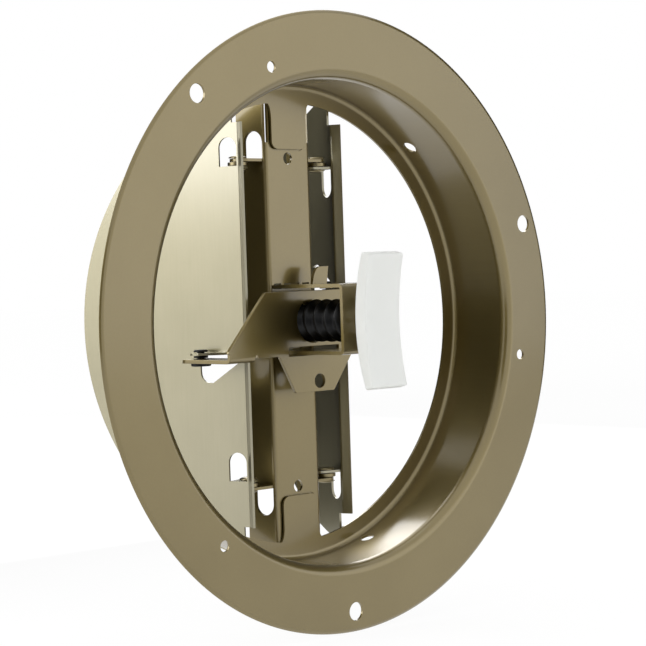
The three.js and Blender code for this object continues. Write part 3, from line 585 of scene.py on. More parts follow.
def baked_enamel(tree, tones, tone="enamel", rough=0.4, grain=(1, 1, 1), lines=0.2, coat=1.65):
    """Metallic bronze enamel, sprayed on pressed steel and baked.

    The metal flake gives a soft, wide gloss with a slight orange peel, and the sheet's rolling
    shows through as faint streaks.
    """
    place = add(tree, 'TexCoord').outputs['Object']
    along = add(tree, 'Mapping', values={'Scale': grain}, links={'Vector': place})
    # Clouds of about 40 mm, where the spray lies thicker.
    clouds = add(tree, 'TexNoise', values={'Scale': 25, 'Detail': 3}, links={'Vector': place})
    # Drawing and rolling streaks of about 1 mm.
    streaks = add(tree, 'TexNoise', values={'Scale': 900, 'Detail': 2}, links={'Vector': along})
    # Flake of about 0.3 mm, coarser than real flake so that it shows.
    flake = add(tree, 'TexNoise', values={'Scale': 3200, 'Detail': 1}, links={'Vector': place})
    cloudy = add(tree, 'Mix', values={0: 0.2}, links={2: clouds, 3: streaks})
    speck = add(tree, 'Mix', values={0: 0.12}, links={2: cloudy, 3: flake})
    ramp = add(tree, 'MapRange', values={'From Min': 0.3, 'From Max': 0.7}, links={'Value': speck})
    # Clouds, streaks and flake mix a darker and a lighter tone. For the blades both tones are
    # lightened and greyed, which is a painted highlight.
    colour = add(tree, 'Mix', {'data_type': 'RGBA'},
                 {6: getattr(tones, tone + "_deep"), 7: getattr(tones, tone)}, {0: ramp})
    gloss = add(tree, 'MapRange', links={'Value': speck},
                values={'From Min': 0.25, 'From Max': 0.75, 'To Min': rough - 0.03,
                        'To Max': rough + 0.03})
    # Orange peel of about 1.2 mm, and the streaks much fainter.
    peel = add(tree, 'TexNoise', values={'Scale': 800, 'Detail': 1}, links={'Vector': place})
    relief = add(tree, 'Mix', values={0: lines}, links={2: peel, 3: streaks})
    bump = add(tree, 'Bump', values={'Strength': 0.1, 'Distance': 0.00003},
               links={'Height': relief})
    return add(tree, 'BsdfPrincipled',
               values={'Metallic': 0.92, 'Coat Weight': 1.0, 'Coat Roughness': 0.15,
                       'Coat IOR': coat},
               links={'Base Color': colour.outputs[2], 'Roughness': gloss, 'Normal': bump,
                      'Coat Normal': bump})


def plated_steel(tree, tones):
    """Steel rivets and spacers under a thin bronze passivation: bright, warm, faintly turned."""
    place = add(tree, 'TexCoord').outputs['Object']
    grain = add(tree, 'TexNoise', values={'Scale': 2500, 'Detail': 2}, links={'Vector': place})
    tone = add(tree, 'Mix', {'data_type': 'RGBA'}, {6: tones.enamel_deep, 7: tones.plated},
               {0: grain})
    gloss = add(tree, 'MapRange', values={'To Min': 0.22, 'To Max': 0.42}, links={'Value': grain})
    return add(tree, 'BsdfPrincipled', values={'Metallic': 1.0},
               links={'Base Color': tone.outputs[2], 'Roughness': gloss})


def black_acetal(tree, tones):
    """Black acetal, moulded and slightly oily: a satin black with soft bluish glints."""
    place = add(tree, 'TexCoord').outputs['Object']
    smear = add(tree, 'TexNoise', values={'Scale': 300, 'Detail': 3}, links={'Vector': place})
    gloss = add(tree, 'MapRange', values={'To Min': 0.25, 'To Max': 0.45}, links={'Value': smear})
    fine = add(tree, 'TexNoise', values={'Scale': 2500, 'Detail': 1}, links={'Vector': place})
    bump = add(tree, 'Bump', values={'Strength': 0.15, 'Distance': 0.00003},
               links={'Height': fine})
    return add(tree, 'BsdfPrincipled',
               values={'Base Color': tones.worm, 'IOR': 1.48, 'Specular IOR Level': 0.3},
               links={'Roughness': gloss, 'Normal': bump})


def natural_nylon(tree, tones):
    """Natural nylon, moulded: milky white that lets light in at its edges, with a soft shine."""
    place = add(tree, 'TexCoord').outputs['Object']
    milk = add(tree, 'TexNoise', values={'Scale': 60, 'Detail': 2}, links={'Vector': place})
    shade = tuple(c * 0.94 for c in tones.nylon[:3]) + (1.0,)
    tone = add(tree, 'Mix', {'data_type': 'RGBA'}, {6: shade, 7: tones.nylon}, {0: milk})
    fine = add(tree, 'TexNoise', values={'Scale': 1500, 'Detail': 1}, links={'Vector': place})
    gloss = add(tree, 'MapRange', values={'To Min': 0.34, 'To Max': 0.46}, links={'Value': fine})
    bump = add(tree, 'Bump', values={'Strength': 0.2, 'Distance': 0.00002},
               links={'Height': fine})
    return add(tree, 'BsdfPrincipled',
               values={'IOR': 1.53, 'Subsurface Weight': 0.35,
                       'Subsurface Radius': (1.0, 1.0, 1.0), 'Subsurface Scale': 0.002},
               links={'Base Color': tone.outputs[2], 'Roughness': gloss, 'Normal': bump})


def black_cloth(tree, tones):
    """Black studio cloth: matt, so that it only takes light away."""
    return add(tree, 'BsdfDiffuse', values={'Color': (0.05, 0.05, 0.05, 1)})


def background_paper(tree, tones):
    """White background paper: matt, a little self-lit for the camera, and it keeps the shadow."""
    matt = add(tree, 'BsdfDiffuse', values={'Color': tones.floor})
    glow = add(tree, 'Emission', values={'Color': (1, 1, 1, 1), 'Strength': 0.94})
    shadow = add(tree, 'BsdfDiffuse', values={'Color': (0.07, 0.07, 0.07, 1)})
    lit = add(tree, 'AddShader', links={0: glow, 1: shadow})
    return add(tree, 'MixShader', links={0: in_sight(tree), 1: matt, 2: lit})


def in_sight(tree):
    """One where the camera sees a surface, straight or by gloss or glass, and nought elsewhere."""
    ray = add(tree, 'LightPath').outputs
    sight = add(tree, 'Math', {'operation': 'MAXIMUM'},
                links={0: ray['Is Camera Ray'], 1: ray['Is Glossy Ray']})
    return add(tree, 'Math', {'operation': 'MAXIMUM'},
               links={0: sight, 1: ray['Is Transmission Ray']})


# Each finish: its slot in the record, its material, what draws it, and how it departs from that.
FINISHES = {
    'PRESSED': ("bronze_enamel", "baked_bronze_enamel", baked_enamel, {}),
    'DRAWN': ("bronze_enamel", "drawn_bronze_enamel", baked_enamel,
              {"grain": (1, 0.05, 1), "lines": 0.7}),
    # The blades' finish has real rolling streaks. Its lighter blade tones are a painted highlight.
    'ROLLED': ("blade_enamel", "rolled_and_lit_bronze_enamel", baked_enamel,
               {"tone": "blade", "rough": 0.38, "grain": (1, 1, 0.06), "coat": 2.1}),
    'PLATED': ("plated_steel", "passivated_steel", plated_steel, {}),
    'ACETAL': ("black_plastic", "moulded_black_acetal", black_acetal, {}),
    'NYLON': ("white_nylon", "moulded_natural_nylon", natural_nylon, {}),
}


# Pieces

class DAMPER_OT_collar(Operator):
    """Adds the drawn collar with its flange, neck, lip, tabs and holes."""
    bl_idname = "damper.collar"
    bl_label = "Collar"

    def execute(self, context):
        s, = sizes("collar")
        start = (s.flange, s.edge_bend * (1 - math.cos(s.edge_turn)))
        section = bent(start, s.edge_turn - math.pi, -1, s.sheet, [
            ('turn', -s.edge_turn, s.edge_bend),
            ('run', s.flange - s.edge_bend * math.sin(s.edge_turn) - s.neck - s.neck_bend),
            ('turn', -QUARTER, s.neck_bend),
            ('run', s.depth - s.sheet - s.neck_bend - s.lip_bend),
            ('turn', QUARTER, s.lip_bend),
            ('run', s.neck - s.lip_bend - s.lip),
        ], arc_steps=10)
        ring = turned("collar_shell", section, 'Y', 216, ring=True)

        # The two tabs of the lip, each with filleted roots that run out on the lip.
        wide = s.tab_half + s.tab_fillet
        end = s.lip - s.tab_reach
        root = math.sqrt(s.lip ** 2 - s.tab_half ** 2) + s.sheet
        outer = math.sqrt(s.lip ** 2 - wide ** 2) + s.sheet
        straight = s.lip + s.sheet - 2 * s.tab_fillet
        half = ([(-wide, s.lip + s.sheet)]
                + curve((-wide, outer), (-s.tab_half, root), (-s.tab_half, straight), 8)
                + arc(s.tab_corner - s.tab_half, end + s.tab_corner, s.tab_corner,
                      math.pi, 1.5 * math.pi, 8))
        outline = half + [(-x, z) for x, z in reversed(half)]
        for turn in BOTH:
            tab = prism("lip_tab", outline, 'Y', s.depth - s.sheet, s.depth)
            boolean(ring, [move(tab, turn)], 'UNION')
        # The tabs and the lip are one sheet, so the seams between them go.
        merge_flat(ring, lambda spot: (abs(spot.x) < 1.5 * wide
                                       and spot.y > s.depth - 1.5 * s.sheet))

        cutters = []
        for angles, circle, radius in ((SCREW_ANGLES, s.screw_circle, s.screw_hole),
                                       (PILOT_ANGLES, s.pilot_circle, s.pilot_hole)):
            for a in map(math.radians, angles):
                cutters.append(drill(radius, (circle * math.cos(a), 0, circle * math.sin(a)), 'Y'))
        for a in map(math.radians, NECK_ANGLES):
            hole = drill(s.neck_hole, (s.neck, s.neck_hole_depth, 0), 'X')
            cutters.append(move(hole, Matrix.Rotation(-a, 4, 'Y')))
        boolean(ring, cutters)
        dress(ring, "frame", "collar_ring", 'DRAWN', edge=0.00025)
        return {'FINISHED'}


class DAMPER_OT_bridge(Operator):
    """Adds the folded channel across the neck, with its slits, windows and hinge tabs."""
    bl_idname = "damper.bridge"
    bl_label = "Bridge"

    def execute(self, context):
        s, h, b, c, w = sizes("bridge", "hinges", "bracket", "collar", "worm")
        bend = QUARTER - s.flare
        bend_length = s.bend * math.tan(bend / 2)
        edge = s.width / 2 - bend_length
        start = (-s.width / 2 - s.wall * math.sin(s.flare), s.front + s.wall * math.cos(s.flare))
        wall = ('run', s.wall - bend_length)
        fold = ('turn', bend, s.bend)
        section = bent(start, -bend, 1, s.sheet, [wall, fold, ('run', 2 * edge), fold, wall])
        channel = prism("bridge", section, 'Z', -s.half, s.half)

        far = s.width + s.wall
        back = start[1] + SPARE
        ahead = s.front - SPARE
        cutters = []
        for turn in BOTH:
            for side in (-1, 1):
                left, right = sorted((side * edge, side * far))
                cutters.append(move(prism("end", rectangle(left, right, ahead, back), 'Z',
                                          s.wall_half, s.half + SPARE), turn))
            slant = [(s.front + s.bend, s.wall_half), (back, s.wall_half - s.wall_slant),
                     (back, s.wall_half + SPARE), (s.front + s.bend, s.wall_half + SPARE)]
            cutters.append(move(prism("slant", slant, 'X', -far, far), turn))
            cutters.append(move(drill(s.hole, (0, s.front, s.hole_height), 'Y'), turn))
        # The web is pressed in round the end of each collar tab, which shows as a fine groove.
        corner = c.tab_corner + s.seam
        low = c.lip - c.tab_reach - s.seam + corner
        half = c.tab_half + s.seam / 2
        pocket = ([(half, s.half + SPARE)] + arc(half - corner, low, corner, 0, -QUARTER, 8)
                  + arc(corner - half, low, corner, 3 * QUARTER, math.pi, 8)
                  + [(-half, s.half + SPARE)])
        for turn in BOTH:
            cutters.append(move(prism("pocket", pocket, 'Y', ahead, s.front + s.seam_depth), turn))
        for side in (-1, 1):
            left, right = sorted((side * edge, side * (edge + s.slit)))
            slit = rectangle(left, right, ahead, s.front + s.slit_depth)
            cutters.append(prism("slit", slit, 'Z', s.wall_half - s.slit_length, s.half))
        for left, right, low in b.stakes():
            slot = rectangle(left - GAP, right + GAP, low - GAP, low + b.sheet + b.slot_rise)
            cutters.append(prism("stake_slot", slot, 'Y', ahead, s.front + s.sheet + SPARE))
        cutters.append(drill(w.bore, (0, s.front, w.rise), 'Y'))

        # Each hinge tab is folded out of the wall, and leaves a window of its own outline.
        wall = s.width / 2 + (h.depth - s.front) * math.tan(s.flare)
        reach = h.across - wall
        folded = tongue(h.wall_width, 0, reach + s.sheet + h.wall_tip)
        cut = tongue(h.wall_width, 0, reach + h.wall_tip)
        tabs = []
        for turn in BOTH:
            for up in (1, -1):
                low, high = sorted((up * h.wall_low, up * (h.wall_low + s.sheet)))
                flat = [(-(y - s.sheet) - wall, x + h.depth) for x, y in folded]
                tabs.append(move(prism("hinge_tab", flat, 'Z', low, high), turn))
                window = [(x + h.depth, up * (y + h.wall_low + s.sheet)) for x, y in cut]
                cutters.append(move(prism("window", window, 'X', -wall - SPARE, -edge), turn))
        boolean(channel, cutters)
        boolean(channel, tabs, 'UNION')
        boolean(channel, [drill(h.hole, (x, h.depth, z), 'Z') for x in (-h.across, h.across)
                          for z in (-h.wall_low, h.wall_low)])
        dress(channel, "frame", "bridge_channel", 'PRESSED')
        return {'FINISHED'}


class DAMPER_OT_bracket(Operator):
    """Adds the U-shaped bracket with its stakes and its ear."""
    bl_idname = "damper.bracket"
    bl_label = "Guide bracket"

    def execute(self, context):
        s, g, w = sizes("bracket", "bridge", "worm")
        leg = ('run', g.front - s.front - s.bend - GAP)
        fold = ('turn', QUARTER, s.bend)
        section = bent((g.front - GAP, s.top), math.pi, 1, s.sheet,
                       [leg, fold, ('run', s.top + s.bottom - 2 * s.bend), fold, leg])
        half = s.width / 2
        strap = prism("guide_strap", section, 'X', -half, half)
        extras = [prism("stake", rectangle(left, right, low, low + s.sheet), 'Y',
                        g.front - SPARE, g.front + g.sheet + s.stake_out)
                  for left, right, low in s.stakes()]
        left = half - s.ear_width
        foot = s.top - s.sheet
        tip = s.top + s.ear_height
        lean = half + s.ear_lean
        ear = ([(left, foot)]
               + curve((left, s.top), (left + s.ear_lean, tip), (lean - s.ear_tip, tip), 12)
               + [(lean, tip), (half, s.top), (half, foot)])
        back = g.front - s.ear_setback
        extras.append(prism("ear", ear, 'Y', back - s.sheet, back))
        boolean(strap, extras, 'UNION')
        boolean(strap, [drill(w.bore, (0, s.front, w.rise), 'Y')])
        dress(strap, "frame", "guide_bracket", 'PRESSED')
        return {'FINISHED'}


class DAMPER_OT_blades(Operator):
    """Adds the left blade, closed, with its tabs and windows, opens it, and copies it across."""
    bl_idname = "damper.blades"
    bl_label = "Blades"

    def execute(self, context):
        s, h, k = sizes("blades", "hinges", "link")
        face, back = s.stand_off, s.stand_off - s.sheet
        through = ('Y', back - SPARE, face + SPARE)
        edge = -s.inset
        notch = edge + s.notch
        height = math.sqrt(s.radius ** 2 - (h.across + notch) ** 2)
        start = math.atan2(height, h.across + notch)
        outline = arc(-h.across, 0, s.radius, -start, start, 96) + [
            (notch, s.strip_half), (edge, s.strip_half), (edge, -s.strip_half),
            (notch, -s.strip_half)]
        blade = prism("left_half_blade", outline, 'Y', back, face)
        strip = bent((notch, face), math.pi, 1, s.sheet, [
            ('run', s.notch), ('turn', -s.strip_angle, s.strip_bend),
            ('run', s.strip - s.strip_bend)])
        boolean(blade, [prism("strip", strip, 'Z', -s.strip_half, s.strip_half)], 'UNION')

        windows, tabs = [], []
        outline = tongue(h.width, h.shift, face + h.tip)
        for low in (h.blade_low, -h.blade_low - s.sheet):
            window = [(x, y + low + s.sheet) for x, y in outline]
            windows.append(prism("window", window, *through))
            flat = [(x, face - y) for x, y in outline]
            tabs.append(prism("hinge_tab", flat, 'Z', low, low + s.sheet))
        # Corners of the link tab: shares of its width and length, and its radius as a share of
        # its length. Its window has these corners too, and one more on the hinge's side.
        shares = [(1, 0, 0), (1, 0.97, 0.4), (0.6, 0.97, 0.06)]
        window = rounded([(k.start + a * k.width, k.top - s.sheet - b * k.length, r * k.length)
                          for a, b, r in [(-0.24, 0, 0)] + shares + [(-0.24, 0.3, 0.05)]])
        windows.append(prism("link_window", window, *through))
        flat = rounded([(k.start + a * k.width, back + b * k.length, r * k.length)
                        for a, b, r in [(0, 0, 0)] + shares + [(0, 0.45, 0.12)]])
        tabs.append(prism("link_tab", flat, 'Z', k.top - s.sheet, k.top))
        boolean(blade, windows)
        boolean(blade, tabs, 'UNION')
        boolean(blade, [drill(h.hole, (0, 0, z), 'Z', 4 * s.sheet)
                        for z in (h.blade_low, -h.blade_low)])
        boolean(blade, [drill(k.shank + GAP, (k.reach, k.stand_off, k.top), 'Z')])

        move(blade, self.swing())
        right = twin(blade, HALF_TURN, "right_half_blade")
        for piece, name in ((blade, "left_blade"), (right, "right_blade")):
            dress(piece, name, name, 'ROLLED', edge=0.00018)
        return {'FINISHED'}

    @staticmethod
    def swing():
        """Carries what is drawn about the origin, closed, to the left hinge, as it stands open."""
        h, s = sizes("hinges", "blades")
        return (Matrix.Translation((-h.across, h.depth, 0))
                @ Matrix.Rotation(math.pi - s.rest, 4, 'Z'))


class DAMPER_OT_hinges(Operator):
    """Adds the four hinge rivets and their spacers."""
    bl_idname = "damper.hinges"
    bl_label = "Hinge rivets and spacers"

    def execute(self, context):
        s, blade, bridge = sizes("hinges", "blades", "bridge")
        low = s.blade_low - GAP
        high = s.wall_low + bridge.sheet + GAP
        dome = [(s.head * math.cos(a), s.head_height * math.sin(a))
                for a in (QUARTER * i / 8 for i in range(8))] + [(0, s.head_height)]
        profile = ([(r, low - z) for r, z in reversed(dome)] + [(s.shank, low), (s.shank, high)]
                   + [(r, high + z) for r, z in dome])
        rivet = turned("rivet", profile, 'Z', 32)
        foot = s.blade_low + blade.sheet + GAP
        top = s.wall_low - GAP
        spacer = turned("spacer", rectangle(s.hole, s.spacer, foot, top), 'Z', 32, ring=True)
        for side, x in (("left", -1), ("right", 1)):
            for end, flip in (("top", 0), ("bottom", math.pi)):
                place = (Matrix.Translation((x * s.across, s.depth, 0))
                         @ Matrix.Rotation(flip, 4, 'X'))
                for part, word in ((rivet, "rivet"), (spacer, "spacer")):
                    piece = twin(part, place, f"{side}_{end}_hinge_{word}")
                    dress(piece, "frame", f"{side}_hinge_{word}_{end}", 'PLATED', edge=0.0001)
        for part in (rivet, spacer):
            bpy.data.objects.remove(part)
        return {'FINISHED'}


class DAMPER_OT_carriage(Operator):
    """Adds the carriage: a stamped plate with a spade, and an arm folded back on each side."""
    bl_idname = "damper.carriage"
    bl_label = "Carriage"

    def execute(self, context):
        s, b, w = sizes("carriage", "bracket", "worm")
        h = s.half_height
        plate = rounded([
            (-s.short, h, s.corner), (-s.long, -h + s.end_height, s.corner), (-s.long, -h, 0),
            (-s.spade_left, -h, s.corner), (-s.spade_bottom, -h - s.spade_drop, s.corner),
            (s.spade_bottom, -h - s.spade_drop, s.corner), (s.spade_right, -h, s.corner),
            (s.short, -h, s.corner), (s.long, h - s.end_height, s.corner), (s.long, h, 0)])
        back = s.face + s.sheet
        carriage = prism("carriage", plate, 'Y', s.face, back)
        front = s.face - SPARE
        through = ('Y', front, back + SPARE)
        bore = (arc(0, w.rise, s.bore, QUARTER + s.finger_angle,
                    QUARTER - s.finger_angle + 2 * math.pi, 48)
                + arc(0, w.rise, s.finger, QUARTER - s.finger_angle, QUARTER + s.finger_angle, 12))
        slot = rectangle(-s.guide_half, s.guide_half, -b.bottom - s.guide_below,
                         -b.bottom + b.sheet + s.guide_above)
        cutters = [prism("bore", bore, *through), prism("slot", slot, *through),
                   drill(s.spade_hole, (s.spade_hole_shift, s.face, -h - s.spade_hole_drop), 'Y')]
        fold = -h + s.arm_bend
        relief = rectangle(-s.arm_inner, -s.arm_inner + s.relief, -h - s.relief, -h + s.relief)
        under = rectangle(-s.long - SPARE, -s.arm_inner, -h - SPARE, fold)
        for turn in BOTH:
            cutters.append(move(prism("relief", relief, *through), turn))
            cutters.append(move(prism("under", under, *through), turn))
        boolean(carriage, cutters)

        section = bent((s.face, fold), -QUARTER, 1, s.sheet, [
            ('run', fold + h + s.sheet - s.arm_bend), ('turn', QUARTER, s.arm_bend),
            ('run', s.arm_back - s.face - s.arm_bend)])
        outer = s.long - s.corner / 2
        arm = prism("arm", section, 'X', -outer, -s.arm_inner)
        low = -h - s.sheet - SPARE
        plan = [(x, y, s.arm_corner if y > front else 0)
                for x, y in rectangle(-outer, -s.arm_inner, front, s.arm_back)]
        boolean(arm, [prism("plan", rounded(plan, 10), 'Z', low, h)], 'INTERSECT')
        # The slot's ends are all but half round.
        end = (s.slot_back - s.slot_front) / 2.2
        pin_slot = [(x, y, end) for x, y in rectangle(
            -s.slot_centre - s.slot_half, -s.slot_centre + s.slot_half, s.slot_front, s.slot_back)]
        boolean(arm, [prism("pin_slot", rounded(pin_slot, 10), 'Z', low, -h + SPARE)])
        boolean(carriage, [arm, twin(arm, HALF_TURN, "other_arm")], 'UNION')
        dress(carriage, "carriage", "carriage_plate", 'PRESSED')
        return {'FINISHED'}


class DAMPER_OT_links(Operator):
    """Adds the two link pins with their heads and split tips, and the washers on them."""
    bl_idname = "damper.links"
    bl_label = "Link pins and washers"

    def execute(self, context):
        s, c, blade = sizes("link", "carriage", "blades")
        head = -c.half_height - c.sheet - GAP
        foot = head - s.head_height
        tip = s.top + GAP
        # Shares of the head's height that are rounded, of the tip's that are straight, and of the
        # tip's radius that are left at its end.
        round_share, straight_share, end_share = 0.4, 0.6, 0.88
        edge = s.head_height * round_share
        profile = ([(0, foot), (s.head - edge, foot)]
                   + arc(s.head - edge, foot + edge, edge, -QUARTER, 0, 6)
                   + [(s.head, head), (s.shank, head), (s.shank, tip), (s.snap, tip),
                      (s.snap, tip + s.snap_height * straight_share),
                      (s.snap * end_share, tip + s.snap_height), (0, tip + s.snap_height)])
        pin = turned("link_pin", profile, 'Z', 40)
        # The tip is split so that it can be pressed through the tab.
        reach = s.snap + SPARE
        boolean(pin, [prism("split", rectangle(-reach, reach, -GAP, GAP), 'Z',
                            tip, tip + s.snap_height + SPARE)])
        washer = turned("link_washer", rectangle(s.shank + GAP, s.washer, -c.half_height + GAP,
                                                 s.top - blade.sheet - GAP), 'Z', 36, ring=True)
        place = DAMPER_OT_blades.swing() @ Matrix.Translation((s.reach, s.stand_off, 0))
        for part, word in ((pin, "pin"), (washer, "washer")):
            for side, turn in zip(("left", "right"), BOTH):
                dress(twin(part, turn @ place, f"{side}_snap_{word}"), f"{side}_blade",
                      f"{side}_link_{word}", 'ACETAL', edge=0.00012)
            bpy.data.objects.remove(part)
        return {'FINISHED'}


class DAMPER_OT_worm(Operator):
    """Adds the worm: one pitch of the thread, screwed on, cut to length, with its journals."""
    bl_idname = "damper.worm"
    bl_label = "Worm"
    steps: IntProperty(name="Steps", description="Facets round the worm", default=72, min=12)

    def execute(self, context):
        s, b, g, c = sizes("worm", "bracket", "bridge", "carriage")
        front = b.front + b.sheet + s.washer_sheet + 2 * s.seat
        back = g.front - s.washer_sheet - 2 * s.seat
        # The groove passes the top of the worm at the carriage's plate, so at the worm's right
        # side, where the profile is drawn, it lies a quarter of a turn away.
        groove = c.face + c.sheet / 2 + s.pitch / 4
        first = groove - s.pitch * math.ceil((groove - front) / s.pitch + 1.5)
        parts = 24
        profile = [(s.crest - s.depth / 2 - s.depth / 2 * math.cos(2 * math.pi * t),
                    first + s.pitch * t, 0) for t in (i / parts for i in range(parts + 1))]
        thread = trace("worm", profile, closed=False)
        modify(thread, 'SCREW', axis='Y', angle=2 * math.pi, screw_offset=s.pitch,
               iterations=math.ceil((back - first) / s.pitch) + 1, steps=self.steps,
               render_steps=self.steps, use_merge_vertices=True, merge_threshold=SAME)
        edit()
        bpy.ops.mesh.remove_doubles(threshold=2 * SAME)
        for spot, normal in ((front, -Y), (back, Y)):
            bpy.ops.mesh.select_all(action='SELECT')
            bpy.ops.mesh.bisect(plane_co=(0, spot, 0), plane_no=normal, use_fill=True,
                                clear_outer=True)
        turn_outwards()
        rod = [(0, b.front - s.stub), (s.journal, b.front - s.stub)]
        rod += [(r, g.front + g.sheet + s.tail) for r, _ in reversed(rod)]
        boolean(thread, [turned("journal", rod, 'Y', 40)], 'UNION')
        move(thread, Matrix.Translation((0, 0, s.rise)))
        dress(thread, "worm", "worm_screw", 'ACETAL', edge=0)
        return {'FINISHED'}


class DAMPER_OT_worm_rings(Operator):
    """Adds the thrust washers at the worm's ends and the push nut on its tail."""
    bl_idname = "damper.worm_rings"
    bl_label = "Washers and push nut"

    def execute(self, context):
        s, b, g = sizes("worm", "bracket", "bridge")
        inner = s.journal + s.seat
        lift = Matrix.Translation((0, 0, s.rise))
        for end, low in (("front", b.front + b.sheet + s.seat),
                         ("rear", g.front - s.seat - s.washer_sheet)):
            ring = turned(f"{end}_thrust_ring",
                          rectangle(inner, s.washer, low, low + s.washer_sheet), 'Y', 48, ring=True)
            move(ring, lift)
            dress(ring, "frame", f"worm_{end}_washer", 'NYLON', edge=0.00012)
        base = g.front + g.sheet + s.seat
        nut = turned("tail_push_nut", [(s.nut, base), (s.nut, base + s.nut_sheet),
                                       (inner, base + s.nut_sheet + s.nut_crown),
                                       (inner, base + s.nut_crown)], 'Y', 48, ring=True)
        # Four slots part the nut's teeth. They start a little inside its bore.
        inside, length, half, teeth = 0.001, 0.0018, 0.0004, 4
        slot = rectangle(inner - inside, inner + length, -half, half)
        boolean(nut, [move(prism("slot", slot, 'Y', base - SPARE, base + SPARE),
                           Matrix.Rotation(QUARTER * i + QUARTER / 2, 4, 'Y'))
                      for i in range(teeth)])
        move(nut, lift)
        dress(nut, "worm", "worm_push_nut", 'PLATED', edge=0.00012)
        return {'FINISHED'}


class DAMPER_OT_handle(Operator):
    """Adds the bowed handle with its hub, and the cross pin through it."""
    bl_idname = "damper.handle"
    bl_label = "Handle and pin"

    def execute(self, context):
        s, w, b = sizes("handle", "worm", "bracket")
        hub_front = b.front - w.seat
        bar_back = hub_front - s.hub_length
        root_depth = bar_back + s.belly
        half = s.height / 2
        # The back is bowed more than the front, so the bar is thickest at its hub.
        (bow, reach), (deep, lean) = [
            (radius, math.asin(half / radius)) for radius in
            ((half ** 2 + rise ** 2) / (2 * rise) for rise in (s.bow, s.bow + s.belly))]
        outline = (arc(root_depth - deep, 0, deep, -lean, lean, 40)
                   + arc(bar_back - bow, 0, bow - s.thickness, reach, -reach, 40))
        bar = prism("bowed_handle", outline, 'X', -s.width / 2, s.width / 2)
        soften(bar, s.rounding, segments=5, angle=50)
        fillet = 0.0012
        start = bar_back - s.thickness / 2
        profile = ([(0, start), (s.hub + fillet, start), (s.hub + fillet, root_depth)]
                   + arc(s.hub + fillet, root_depth + fillet, fillet, 3 * QUARTER, math.pi, 6)
                   + arc(s.hub - fillet, hub_front - fillet, fillet, 0, QUARTER, 6)
                   + [(0, hub_front)])
        boolean(bar, [turned("hub", profile, 'Y', 48)], 'UNION')
        socket_end = b.front - w.stub - w.seat
        depth = hub_front + SPARE - socket_end
        middle = hub_front - s.hub_length / 2
        boolean(bar, [drill(w.journal + w.seat, (0, socket_end + depth / 2, 0), 'Y', depth),
                      drill(s.pin + w.seat, (0, middle, 0), 'X', 4 * s.hub)])
        move(bar, Matrix.Translation((0, 0, w.rise)))
        dress(bar, "worm", "handle", 'NYLON', edge=0)
        pin = drill(s.pin, (0, middle, w.rise), 'X', 2 * (s.hub - w.seat), 24)
        pin.name = "handle_cross_pin"
        dress(pin, "worm", "handle_pin", 'PLATED')
        return {'FINISHED'}


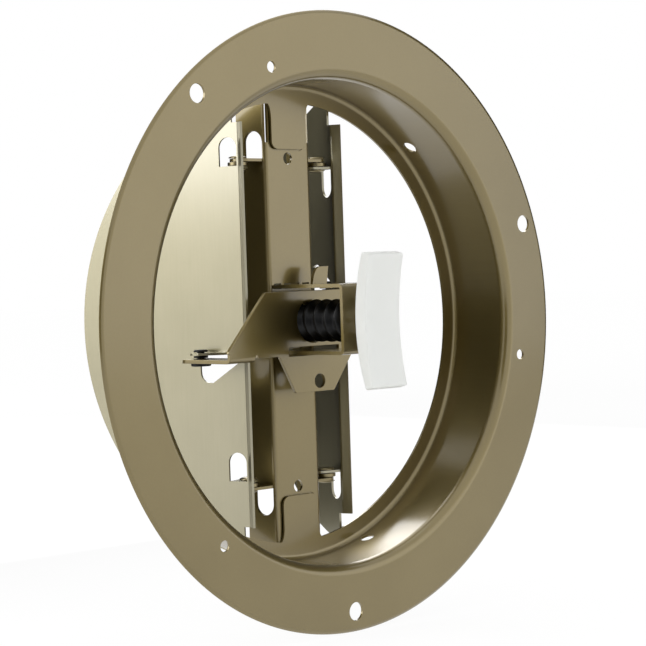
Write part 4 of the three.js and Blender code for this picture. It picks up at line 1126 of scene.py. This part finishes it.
class DAMPER_OT_stage(Operator):
    """Adds the floor, the studio lamps, the black flags, the room's light and the camera."""
    bl_idname = "damper.stage"
    bl_label = "Stage"

    def execute(self, context):
        s, = sizes("stage")
        scene = context.scene
        scene.view_settings.view_transform = 'Standard'
        deselect_all()
        bpy.ops.mesh.primitive_plane_add(size=2 * s.floor_half, location=(0, 0, s.floor))
        floor = context.object
        floor.name = "studio_floor"
        floor.data.materials.append(material("matt_background_paper", background_paper))
        for name, place, target, width, height, power in (
                ("left", (-1.1, 0.65, 0.65), (0, 0.05, 0), 1.3, 1.2, s.left),
                ("front", (0.95, -0.95, 0.35), (0, 0, 0), 1.1, 0.9, s.front),
                ("top", (0.3, 0.3, 1.4), (0, 0.05, 0), 1.2, 0.8, s.top),
                ("rim", (0.6, 0.85, 0.55), (0, 0, 0), 0.8, 0.7, s.back)):
            aim = (Vector(target) - Vector(place)).to_track_quat('-Z', 'Y').to_euler()
            bpy.ops.object.light_add(type='AREA', location=place, rotation=aim)
            lamp = context.object
            lamp.name = f"{name}_lamp"
            lamp.visible_camera = False
            lamp.data.shape = 'RECTANGLE'
            lamp.data.size = width
            lamp.data.size_y = height
            lamp.data.energy = power
        # Black flags to the right, in front and behind take the room's light, as in a studio.
        for name, place, turn, width, height in (
                ("right", (0.85, 0.3, 0.1), QUARTER, 1.7, 1.3),
                ("front", (-0.85, -0.88, 0.1), -QUARTER / 2, 0.7, 0.8),
                ("back", (-0.02, 0.3, 0.14), 0, 0.38, 0.54)):
            bpy.ops.mesh.primitive_plane_add(size=1, location=place, rotation=(QUARTER, 0, turn))
            flag = context.object
            flag.name = f"{name}_flag"
            flag.visible_camera = False
            flag.scale = (width, height, 1)
            bpy.ops.object.transform_apply()
            flag.data.materials.append(material("black_flag_cloth", black_cloth))
        self.room(scene, s.sky)

        # The camera's three axes from its azimuth, elevation and roll.
        a, e, roll = s.azimuth, s.elevation, s.roll
        ahead = Vector((math.sin(a) * math.cos(e), math.cos(a) * math.cos(e), -math.sin(e)))
        right = Vector((math.cos(a), -math.sin(a), 0))
        up = right.cross(ahead)
        leaned = math.cos(roll) * right + math.sin(roll) * up
        upper = math.cos(roll) * up - math.sin(roll) * right
        place = -ahead * s.distance + leaned * s.shift_right + upper * s.shift_up
        turn = Matrix((leaned, upper, -ahead)).transposed().to_4x4()
        bpy.ops.object.camera_add(location=place, rotation=turn.to_euler())
        camera = context.object
        camera.name = "photo_camera"
        camera.data.lens = s.lens
        camera.data.sensor_width = 36
        camera.data.clip_start = 0.01
        scene.camera = camera
        return {'FINISHED'}

    @staticmethod
    def room(scene, sky):
        """A white room: the camera, gloss and glass see it at full white, and it lights less."""
        world = bpy.data.worlds.new("white_room")
        world.use_nodes = True
        tree = world.node_tree
        tree.nodes.clear()
        power = add(tree, 'MapRange', values={'To Min': sky, 'To Max': 1.0},
                    links={'Value': in_sight(tree)})
        light = add(tree, 'Background', values={'Color': (1, 1, 1, 1)}, links={'Strength': power})
        add(tree, 'OutputWorld', links={'Surface': light})
        scene.world = world


class DAMPER_PT_panel(Panel):
    """Lists the damper's pieces in the sidebar."""
    bl_label = "Duct butterfly damper"
    bl_idname = "DAMPER_PT_panel"
    bl_space_type = 'VIEW_3D'
    bl_region_type = 'UI'
    bl_category = "Damper"

    def draw(self, context):
        for step in STEPS:
            self.layout.operator(step.bl_idname)


STEPS = (DAMPER_OT_stage, DAMPER_OT_collar, DAMPER_OT_bridge, DAMPER_OT_bracket,
         DAMPER_OT_blades, DAMPER_OT_hinges, DAMPER_OT_carriage, DAMPER_OT_links, DAMPER_OT_worm,
         DAMPER_OT_worm_rings, DAMPER_OT_handle)
GROUPS = {
    "collar": CollarSizes, "bridge": BridgeSizes, "hinges": HingeSizes, "blades": BladeSizes,
    "link": LinkSizes, "carriage": CarriageSizes, "bracket": BracketSizes, "worm": WormSizes,
    "handle": HandleSizes, "finishes": Finishes, "stage": StageSizes,
}
CLASSES = (*GROUPS.values(), *STEPS, DAMPER_PT_panel)


def register():
    for kind in CLASSES:
        bpy.utils.register_class(kind)
    for name, group in GROUPS.items():
        setattr(bpy.types.Scene, f"damper_{name}", PointerProperty(type=group))


def unregister():
    for name in GROUPS:
        delattr(bpy.types.Scene, f"damper_{name}")
    for kind in reversed(CLASSES):
        bpy.utils.unregister_class(kind)


def main():
    register()
    for step in STEPS:
        group, name = step.bl_idname.split(".")
        if getattr(getattr(bpy.ops, group), name)() != {'FINISHED'}:
            raise RuntimeError(f"{step.bl_label} wasn't finished")


if __name__ == "__main__":
    main()
